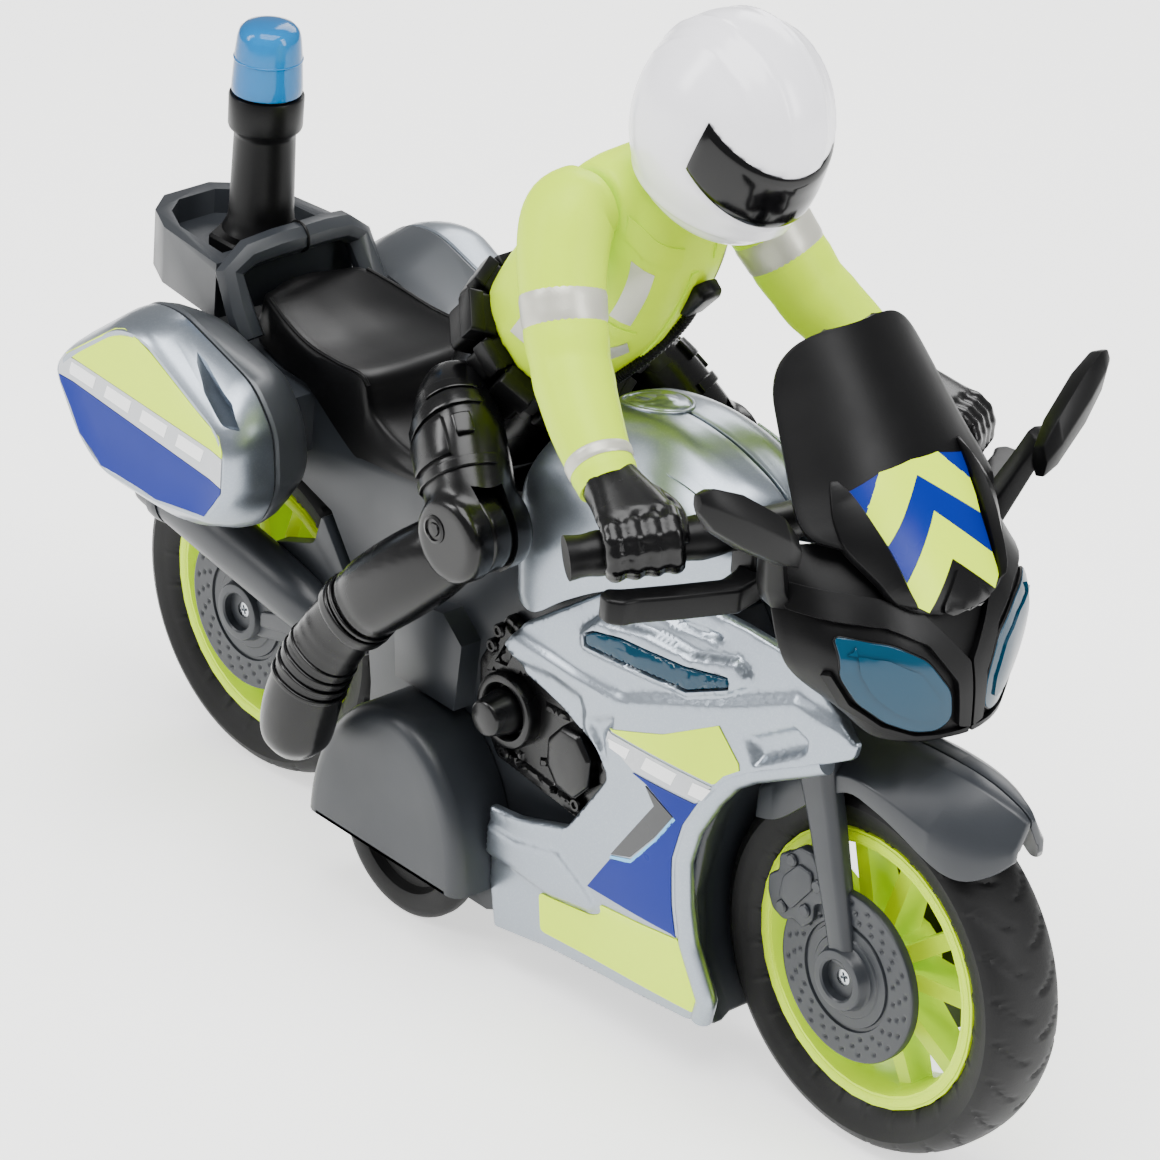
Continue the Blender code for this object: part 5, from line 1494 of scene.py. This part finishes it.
makeSeat()

beacon = {"x": -15.3}


def makeRearEnd():
    softened("tail_rack_tray", ["tail_rack"], "gunGrey", "body", 1.1, 3, 32)
    seamRing = [(-3.1 + 3.25 * math.sin(t), 0,
                 120.0 + 3.25 * math.cos(t)) for t in (2 * math.pi * n / 24 for n in range(24))]
    settle(tube("grab_rail_seam", seamRing, 0.28, 6, True), "satinBlack", "body", (), 60)
    x = beacon["x"]
    mast = turned("beacon_pole", [(0, 113.2), (4.1, 113.2), (4.1, 117.4), (8.0, 117.4), (7.7, 118.1),
                                  (7.0, 119.4), (6.75, 121.5),
                                  (6.4, 138.4), (6.5, 139.2), (7.5, 140.2), (7.72, 140.8), (7.8, 147.2),
                                  (7.6, 147.6),
                                  (6.6, 147.7), (6.2, 149.0), (0, 149.0)], (x, 0, 0), "z", 64)
    foot = [(x - 3.4 + 8.2 * math.cos(t), 8.9 * math.sin(t)) for t in (math.pi / 3 * n for n in range(6))]
    plate = loft("beacon_plate", [[(a, b, z) for a, b in rounded(foot, 0.8)] for z in (111.8, 114.6)]
                 + [[(x - 3.4 + (a - x + 3.4) * 0.93, b * 0.93, 115.2) for a, b in rounded(foot, 0.8)]])
    stand = joined("beacon_stand", [mast, plate])
    settle(stand, "satinBlack", "body", ["beacon_mast"], 40)
    profile = [(0, 149.35), (6.25, 149.35), (6.4, 148.2), (7.25, 148.2), (7.38, 148.8), (7.3, 150.2),
               (6.95, 156.5), (6.55, 160.0),
               (6.1, 161.4), (5.2, 162.3), (3.4, 162.85), (0.02, 163.0)]
    dome = turned("beacon_cap", [(r, z) for r, z in profile], (x, 0, 0), "z", 64)
    settle(dome, "beaconBlue", "body", ["beacon_lens"], 40)
    rim = [(x + 7.0 * math.cos(t), 7.0 * math.sin(t),
            155.4) for t in (2 * math.pi * n / 48 for n in range(48))]
    settle(tube("beacon_cap_step", rim, 0.22, 8, True), "beaconBlue", "body", (), 60)


makeRearEnd()
print("tank, seat, rack and beacon made")

# ---- wheels ----
wheel = {"nicks": 26, "nickDepth": 0.55, "steps": 416}


def makeTyre(name, axle, body):
    cx, cz = (axle.x - rearX) / mm, axle.z / mm
    half = [(28.7, 6.6), (29.6, 7.5), (31.2, 8.5), (32.2, 8.75), (32.5, 8.95), (34.4, 9.4), (35.6, 8.9),
            (36.6, 7.9), (37.2, 6.8),
            (37.7, 5.6), (38.05, 4.4), (38.28, 3.2), (38.4, 1.9), (38.45, 0.7)]
    profile = [(r, y) for r, y in half] + [(r, -y) for r, y in reversed(half)]
    rings = []
    for r, y in profile:
        ring = []
        for n in range(wheel["steps"]):
            turn = n / wheel["steps"] * wheel["nicks"]
            lead = turn + (0.5 if y < 0 else 0) - 0.085 * (abs(y) - 1.5) - 0.012 * (abs(y) - 4) ** 2
            off = abs(lead - round(lead))
            cut = wheel["nickDepth"] * max(0.0, 1 - (off / 0.075) ** 2) * (1 if 1.5 < abs(y) < 8.2 else 0)
            t = 2 * math.pi * n / wheel["steps"]
            ring.append((cx + (r - cut) * math.cos(t), y, cz + (r - cut) * math.sin(t)))
        rings.append(ring)
    obj = loft(name + "_carcass", rings, True)
    settle(obj, "tyreBlack", body, [name], 30)


def makeRim(name, axle, body):
    softened(name + "_casting", [name], "neonABS", body, 0.55, 3, 28)
    cx, cz = (axle.x - rearX) / mm, axle.z / mm
    for word, side in sides:
        lip = [(26.0, 6.3), (26.3, 7.05), (27.0, 7.35), (27.9, 7.2), (28.3, 6.6), (28.3, 5.6), (26.0, 5.6)]
        ring = turned(name + "_lip_" + word, [(r, side * y) for r, y in lip + lip[:1]], (cx, 0, cz), "y", 96)
        ring = hollowRing(ring)
        settle(ring, "neonABS", body, (), 40)


def hollowRing(obj):
    # Drops the end caps of a turned profile that closes on itself
    bm = bmesh.new()
    bm.from_mesh(obj.data)
    bmesh.ops.delete(bm, geom=[f for f in bm.faces if len(f.verts) > 4], context="FACES")
    bmesh.ops.remove_doubles(bm, verts=bm.verts, dist=1e-6)
    bmesh.ops.recalc_face_normals(bm, faces=bm.faces)
    bm.to_mesh(obj.data)
    bm.free()
    return obj


disc = {"rows": (12.7, 14.3, 15.9), "holes": 22, "steps": 264, "hole": 0.55, "depth": 0.5}


def makeDisc(name, cx, cz, side):
    d = disc
    fine = [(float(r), 12.0) for r in np.arange(17.0, 11.6, -0.27)]
    profile = [(1.7, 10.2), (17.7, 10.2), (17.7, 11.5), (17.5, 11.9), (17.2, 12.0)] + fine + \
              [(11.4, 12.0), (11.2, 11.5), (10.6, 11.5), (10.4, 12.0), (8.6, 12.0), (8.3, 12.3), (6.9, 12.35),
               (6.5, 12.8),
               (6.3, 14.2), (6.0, 14.7), (5.6, 14.8), (4.5, 14.8), (4.1, 14.5), (4.0, 12.95), (1.7, 12.9)]
    rings = []
    for r, y in profile:
        ring = []
        for n in range(d["steps"]):
            t = 2 * math.pi * n / d["steps"]
            dip = 0.0
            if y == 12.0 and r > 11.6:
                for k, row in enumerate(d["rows"]):
                    step = 2 * math.pi / d["holes"]
                    off = (t - k * step / 3 + step / 2) % step - step / 2
                    dip += d["depth"] * max(0.0, 1 - ((r - row) ** 2 + (r * off) ** 2) / d["hole"] ** 2)
            ring.append((cx + r * math.cos(t), side * (y - dip), cz + r * math.sin(t)))
        rings.append(ring)
    return hollowRing(loft(name, rings + rings[:1]))


def plateOf(name, outline, low, high, side, round_=0.5, corner=0.8):
    # Flat moulding between two |y| values, with rounded corners and rims
    edge = rounded(outline, corner)
    flat = [(x, side * low, z) for x, z in edge], [(x, side * high, z) for x, z in edge]
    return bevelled(loft(name, list(flat)), round_, 3, 50)


def screwHead(name, axle, body, nodes):
    obj = softened(name, nodes, "zincPlate", body, 0.25, 2)
    cx, cz = (axle.x - rearX) / mm, axle.z / mm
    for _, side in sides:
        for turnBy in (0.4, 0.4 + math.pi / 2):
            a, b = Vector((math.cos(turnBy), 0, math.sin(turnBy))), Vector((-math.sin(turnBy), 0,
                math.cos(turnBy)))
            foot = Vector((cx, 0, cz))
            rings = []
            for y, grow in ((side * 11.6, 0.5), (side * 13.2, 1.1)):
                rings.append([foot + a * i * 1.15 * grow + b * j * 0.32 * grow + Vector((0, y, 0))
                              for i, j in ((-1, -1), (1, -1), (1, 1), (-1, 1))])
            cutter = loft(name + "_cutter", rings)
            cut = obj.modifiers.new("recess", "BOOLEAN")
            cut.operation, cut.solver, cut.object = "DIFFERENCE", "EXACT", cutter
            applied(obj)
            bpy.data.objects.remove(cutter, do_unlink=True)


fender = [  # x, top, shoulder height, skirt height, half width
    (152.5, 74.0, 71.4, 60.5, 12.2), (156.0, 78.4, 75.8, 61.6, 12.4), (160.0, 82.0, 79.3, 64.0, 12.6),
    (168.0, 84.8, 81.6, 71.4, 12.7),
    (176.0, 86.0, 82.8, 77.0, 12.8), (183.0, 86.9, 83.4, 76.8, 12.9), (190.0, 87.2, 83.3, 75.0, 12.8),
    (196.0, 87.2, 82.8, 72.4, 12.2), (201.0, 86.8, 81.8, 70.6, 11.2), (205.0, 86.0, 80.4, 70.4, 9.4),
    (209.0, 84.8, 79.6, 72.6, 6.8), (211.5, 83.4, 79.4, 75.6, 4.2)]
caliper = [(158.6, 47.6), (160.2, 44.4), (163.4, 43.2), (166.2, 44.8), (168.4, 43.8), (171.2, 46.8),
           (171.0, 50.2), (174.4, 52.2),
           (174.2, 56.6), (171.4, 58.2), (169.6, 60.8), (165.8, 60.6), (163.6, 58.4), (160.8, 56.8),
           (161.0, 53.2), (158.4, 51.2)]


def makeFork(word, side):
    y = lambda v: side * v
    pieces = [makeDisc("disc", (frontAxle.x - rearX) / mm, frontAxle.z / mm, side)]
    stations = []
    for x, top, shoulder, low, half in fender:
        middle = (shoulder + low) / 2 + 0.6
        stations.append([(x, y(0.15), top), (x, y(half * 0.30), top - 0.25), (x, y(half * 0.72), shoulder),
                         (x, y(half - 0.2), middle),
                         (x, y(half), low), (x, y(half - 1.5), low), (x, y(half - 1.7), middle - 0.6),
                         (x, y(half * 0.72 - 1.0), shoulder - 1.7), (x, y(0.15), top - 1.8)])
    pieces.append(bevelled(columnsLoft("fender", stations, 4), 0.35, 2, 32))
    leg = []
    for x, z, w, out in ((164.6, 92.0, 5.6, 13.6), (165.6, 88.0, 5.6, 14.2), (168.0, 78.0, 5.0, 14.5),
                         (171.0, 69.0, 4.4, 14.4),
                         (173.8, 60.0, 3.9, 14.3), (176.9, 50.0, 3.4, 14.2), (178.8, 44.0, 3.2, 14.2),
                         (179.6, 41.0, 3.0, 13.8)):
        leg.append([(x - w, y(10.4), z), (x + w, y(10.4), z), (x + w, y(out - 1.4), z),
                    (x + w * 0.62, y(out), z),
                    (x - w * 0.62, y(out), z), (x - w, y(out - 1.4), z)])
    pieces.append(bevelled(columnsLoft("leg", leg, 3), 0.5, 2, 28))
    pieces.append(plateOf("caliper", caliper, 10.6, 13.3, side, 0.5, 0.9))
    pieces.append(plateOf("caliper_pad", [(162.2, 48.4), (165.6, 46.8), (170.8, 53.6), (170.2, 57.0),
                                          (166.6, 57.4), (162.8, 53.0)],
                          12.8, 14.0, side, 0.45, 0.8))
    for x, z in ((163.0, 46.2), (169.2, 48.2), (171.8, 54.8), (164.6, 57.2)):
        pieces.append(turned("stud", [(0.1, y(12.8)), (1.35, y(12.8)), (1.35, y(13.7)), (1.05, y(14.0)),
                                      (0.1, y(14.0))], (x, 0, z), "y", 20))
    settle(joined("fork_leg_" + word, pieces), "gunGrey", "body", ["fork_" + word], 35)


def makeSwingarm(word, side):
    y = lambda v: side * v
    pieces = [makeDisc("disc", 0.0, rearAxle.z / mm, side)]
    pieces.append(plateOf("beam", [(4.7, 34.6), (28, 40.6), (40.4, 45.6), (40.4, 56), (30, 52.4),
                                   (4.7, 44.4)], 10.4, 13.6, side, 0.6, 1.6))
    pieces.append(plateOf("beam_rib",
                          [(7.0, 38.0), (28, 43.2), (38.4, 47.6), (38.4, 52.8), (30, 49.4), (7.0, 41.6)],
                          13.0, 14.3, side, 0.4, 1.0))
    pieces.append(plateOf("bracket", [(12, 61), (25, 66), (27, 73.5), (38.5, 58.5), (33, 50), (24, 50)], 12.6,
                          16.2, side, 0.6, 1.4))
    pipe = limb("muffler", [(-24.4, y(19.2), 61.0, 3.9, 4.9), (-23.4, y(19.2), 60.9, 4.4, 5.4),
                            (-12, y(19.4), 59.9, 4.9, 5.9),
                            (0, y(19.6), 58.5, 5.2, 6.2), (14, y(19.4), 56.2, 5.2, 6.2),
                            (25, y(19.0), 53.8, 5.0, 5.9),
                            (31, y(17.8), 51.4, 4.2, 5.0), (34, y(17.0), 50.0, 3.4, 4.2)])
    band = limb("band", [(-19.8, y(19.25), 60.5, 4.85, 5.85), (-19.4, y(19.25), 60.5, 5.15, 6.15),
                         (-17.2, y(19.3), 60.3, 5.25, 6.25), (-16.8, y(19.3), 60.3, 5.0, 6.0)])
    settle(joined("swingarm_stay_" + word, pieces + [pipe, band]), "gunGrey", "body",
           ["swingarm_" + word], 35)


for name, axle in (("front", frontAxle), ("rear", rearAxle)):
    makeTyre(name + "_tyre", axle, name + "_wheel")
    makeRim(name + "_rim", axle, name + "_wheel")
    screwHead(name + "_axle_pin", axle, name + "_wheel", [name + "_axle"])
for word, side in sides:
    makeFork(word, side)
    makeSwingarm(word, side)
print("wheels, fork and swingarm made")

# ---- engine, drive cover, controls ----
engine = {
    "outline": [(80, 52), (86, 45), (113, 41.5), (123, 58), (118, 67), (101, 73), (86, 77), (79, 64)],
    "raised": [
        ([(81.4, 62.5), (86.6, 75.4), (98.6, 71.4), (101.2, 66.6), (95.5, 67.2), (86.5, 64.6)], 0.9),
        ([(84.4, 66.2), (87.8, 72.8), (90.6, 71.8), (88.0, 66.6)], -0.7),
        ([(92.0, 69.2), (93.6, 71.6), (97.2, 70.4), (98.4, 68.6)], -0.7),
        ([(99.0, 63.6), (105.5, 63.8), (106.2, 62.2), (99.6, 61.6)], 0.8),
        ([(98.2, 50.6), (101.6, 51.8), (102.2, 50.0), (98.6, 48.8)], 0.8),
        ([(85.4, 47.2), (111.6, 43.8), (112.2, 45.2), (86.0, 48.9)], 0.8),
        ([(92.4, 49.6), (93.9, 49.4), (94.2, 45.8), (92.6, 45.9)], 0.8),
        ([(103.0, 48.0), (104.4, 47.8), (104.2, 44.6), (102.8, 44.7)], 0.8),
        ([(117.2, 52.2), (120.8, 58.2), (117.0, 64.8), (115.2, 63.2), (117.6, 58.2), (115.6, 54.4)], 0.8),
    ],
    "bosses": [(83.6, 69.4), (85.2, 73.4), (99.2, 69.0), (118.6, 58.3), (89.0, 47.6), (110.6, 45.8)],
}


def makeEngine(word, side):
    y = lambda v: side * v
    e = engine
    features = [{"outline": o, "rise": rise, "slope": 0.45} for o, rise in e["raised"]]
    plate = reliefPanel("plate", rounded(e["outline"], 0.8, 2), lambda p: np.full(len(p), 18.35), features,
                        side, 2.4, 1.3, 0.5)
    rim = [(4.95, 17.0), (8.0, 17.0), (8.0, 20.6), (7.6, 21.4), (7.0, 21.6), (6.2, 21.5), (5.6, 20.8),
           (5.2, 19.6), (4.95, 17.0)]
    collar = hollowRing(turned("collar", [(r, y(v)) for r, v in rim], (90, 0, 58), "y", 64))
    ripple = []
    for v, grow in ((17.0, 1.08), (20.6, 1.04), (21.3, 0.94), (21.6, 0.74), (21.6, 0.2)):
        ripple.append([(109 + 6.4 * grow * math.cos(t), y(v), 55 + 7.4 * grow * math.sin(t))
                       for t in (math.pi / 4 * (n + 0.5) for n in range(8))])
    octagon = bevelled(loft("octagon", ripple), 0.3, 2, 25)
    pieces = [plate, collar, octagon]
    for x, z in e["bosses"]:
        pieces.append(turned("boss", [(0.1, y(18.0)), (1.5, y(18.0)), (1.5, y(19.5)), (1.2, y(19.9)),
                                      (0.75, y(19.9)), (0.6, y(19.5)),
                                      (0.1, y(19.5))], (x, 0, z), "y", 24))
    knob = [(0.1, 17.5), (4.75, 17.5), (4.75, 21.8), (4.45, 22.4), (3.9, 25.8), (3.7, 26.3), (3.3, 26.58),
            (0.1, 26.6)]
    if side > 0:
        pieces.append(turned("blank", [(r, y(min(v, 20.6))) for r, v in knob], (90, 0, 58), "y", 48))
    else:
        button = turned("sound_button_cap", [(r, y(v)) for r, v in knob], (90, 0, 58), "y", 48)
        settle(button, "glossBlack", "sound_button", ["sound_button"], 35)
    settle(joined("engine_relief_" + word, pieces), "glossBlack", "body", ["engine_" + word],
           30)


def makeDriveCover(word, side):
    def archLine(inset, foot):
        line = []
        for n in range(41):
            t = math.pi * n / 40
            line.append((66.8 + (23.6 - inset) * math.cos(t), 17.7 + (32.5 - inset) * math.sin(t)))
        return [(66.8 - 23.6 + inset, foot), (66.8 + 23.6 - inset, foot)] + line
    rings = []
    for v, inset in ((15.8, 0.0), (27.8, 0.0), (29.3, 0.35), (30.3, 1.15), (30.85, 2.3), (31.0, 3.6),
                     (31.0, 8.0)):
        rings.append([(x, side * v, z) for x, z in archLine(inset, 17.7 + min(inset, 1.2) * 0.6)])
    shell = loft("drive_cover_shell_" + word, rings)
    cutter = loft("cutter", [[(x, side * v, z) for x, z in archLine(1.8, 8.0)] for v in (10.0, 28.8)])
    cut = shell.modifiers.new("hollow", "BOOLEAN")
    cut.operation, cut.solver, cut.object = "DIFFERENCE", "EXACT", cutter
    applied(shell)
    bpy.data.objects.remove(cutter, do_unlink=True)
    settle(shell, "gunGrey", "body", ["drive_cover_" + word], 40)


def makeControls():
    half = [(150.0, 0.0, 122.0, 3.6), (151.4, -10.0, 123.2, 3.6), (152.0, -19.0, 124.6, 3.8),
            (150.8, -25.0, 125.6, 4.0)]
    half += [(136.5 + 14.0 * (1 - k / 9), -27.6 - 24.4 * k / 9, 125.2 - 3.7 * k / 9,
              4.25 if k % 2 else 3.9) for k in range(10)]
    whole = [(x, y, z, r, r) for x, y, z, r in reversed(half)] + [(x, -y, z, r, r) for x, y, z, r in half[1:]]
    pieces = [limb("bar", whole, (0, 0, 1), 24, 3)]
    for word, side in sides:
        lever = [(153.0, 52.4), (150.6, 54.2), (147.6, 53.6), (146.6, 51.2), (148.4, 48.8), (152.4, 40.0),
                 (156.2, 31), (154.8, 26), (151.6, 20.6),
                 (152.0, 18), (157.6, 18), (160.2, 24), (161.8, 31), (157.0, 42.6), (153.6, 49.6)]
        line = rounded([(x, side * y) for x, y in lever], 0.8)
        pieces.append(bevelled(loft("lever", [[(x, y, z) for x, y in line] for z in (114.4, 119.6)]), 1.0, 3,
                               50))
        stay = rounded([(151.4, side * 19), (158.2, side * 19), (158.2, side * 24.4), (151.4, side * 24.4)],
                       1.2)
        pieces.append(bevelled(loft("stay", [[(x, y, z) for x, y in stay] for z in (116.6, 125.4)]), 0.6, 3,
                               50))
    settle(joined("handlebar_moulding", pieces), "satinBlack", "body", ["handlebar"], 38)


def makeMirror(word, side):
    def section(x, y, z, deep, tall):
        # Six-sided section whose front corner gives the ridge along the arm
        return [(x - deep, side * y, z + tall * 0.7), (x + deep * 0.3, side * y, z + tall),
                (x + deep, side * y, z + tall * 0.2),
                (x + deep * 0.7, side * y, z - tall * 0.8), (x - deep * 0.4, side * y, z - tall),
                (x - deep, side * y, z - tall * 0.3)]
    flatArm = [(167.6, 26.6, 118.6, 3.4, 6.4), (168.6, 29.6, 123.4, 3.0, 5.8), (171.2, 33.4, 132.4, 2.6, 4.6),
               (172.8, 35.4, 137.6, 2.8, 3.4)]
    arm = []
    for x, y, z, deep, wide in flatArm:
        arm.append([(x - deep, side * (y - wide * 0.5), z), (x + deep * 0.2, side * (y - wide * 0.6), z - 1),
                    (x + deep, side * y, z - 0.6),
                    (x + deep * 0.4, side * (y + wide * 0.55), z),
                    (x - deep * 0.7, side * (y + wide * 0.5), z + 0.6),
                    (x - deep, side * y, z + 0.6)])
    stem = bevelled(loft("stem", arm), 0.4, 2, 20)
    headAt = [(175.4, 32.0, 133.6, 2.0, 3.4), (174.8, 35.6, 136.6, 2.9, 5.2), (172.6, 44.6, 142.4, 3.0, 5.8),
              (171.0, 50.4, 145.8, 2.4, 4.6), (170.4, 53.2, 147.6, 1.2, 2.0)]
    head = bevelled(loft("head", [section(*h) for h in headAt]), 0.35, 2, 16)
    settle(joined("mirror_moulding_" + word, [stem, head]), "satinBlack", "body",
           ["mirror_" + word], 30)


for word, side in sides:
    makeEngine(word, side)
    makeDriveCover(word, side)
    makeMirror(word, side)
    fly = [(2.2, 17.9), (2.2, 21.6), (4.6, 21.6), (5.2, 21.3), (5.8, 20.6), (12.8, 20.6), (13.3, 21.4),
           (13.8, 22.4), (14.6, 22.75),
           (17.0, 22.85), (18.2, 22.5), (18.95, 21.7), (19.15, 20.9), (19.15, 19.4), (18.9, 18.5),
           (18.4, 17.9), (2.2, 17.9)]
    roller = hollowRing(turned("drive_roller_" + word, [(r, side * v) for r, v in fly], (64.4, 0, 19.2), "y",
                               96))
    settle(roller, "tyreBlack", "drive", ["drive_wheel_" + word], 35)
makeControls()
print("engine, cover, mirrors and controls made")

# ---- every remaining node, with rounded edges ----
bodyOf = {node: body for body, nodes in record["behaviour"]["bodies"].items() for node in nodes}
for nodeName in sorted(frame["nodes"]):
    if frame["nodes"][nodeName].hide_render:
        continue
    softened(nodeName + "_body", [nodeName], slotFinish[nodeSlot[nodeName]], bodyOf[nodeName], 0.5)
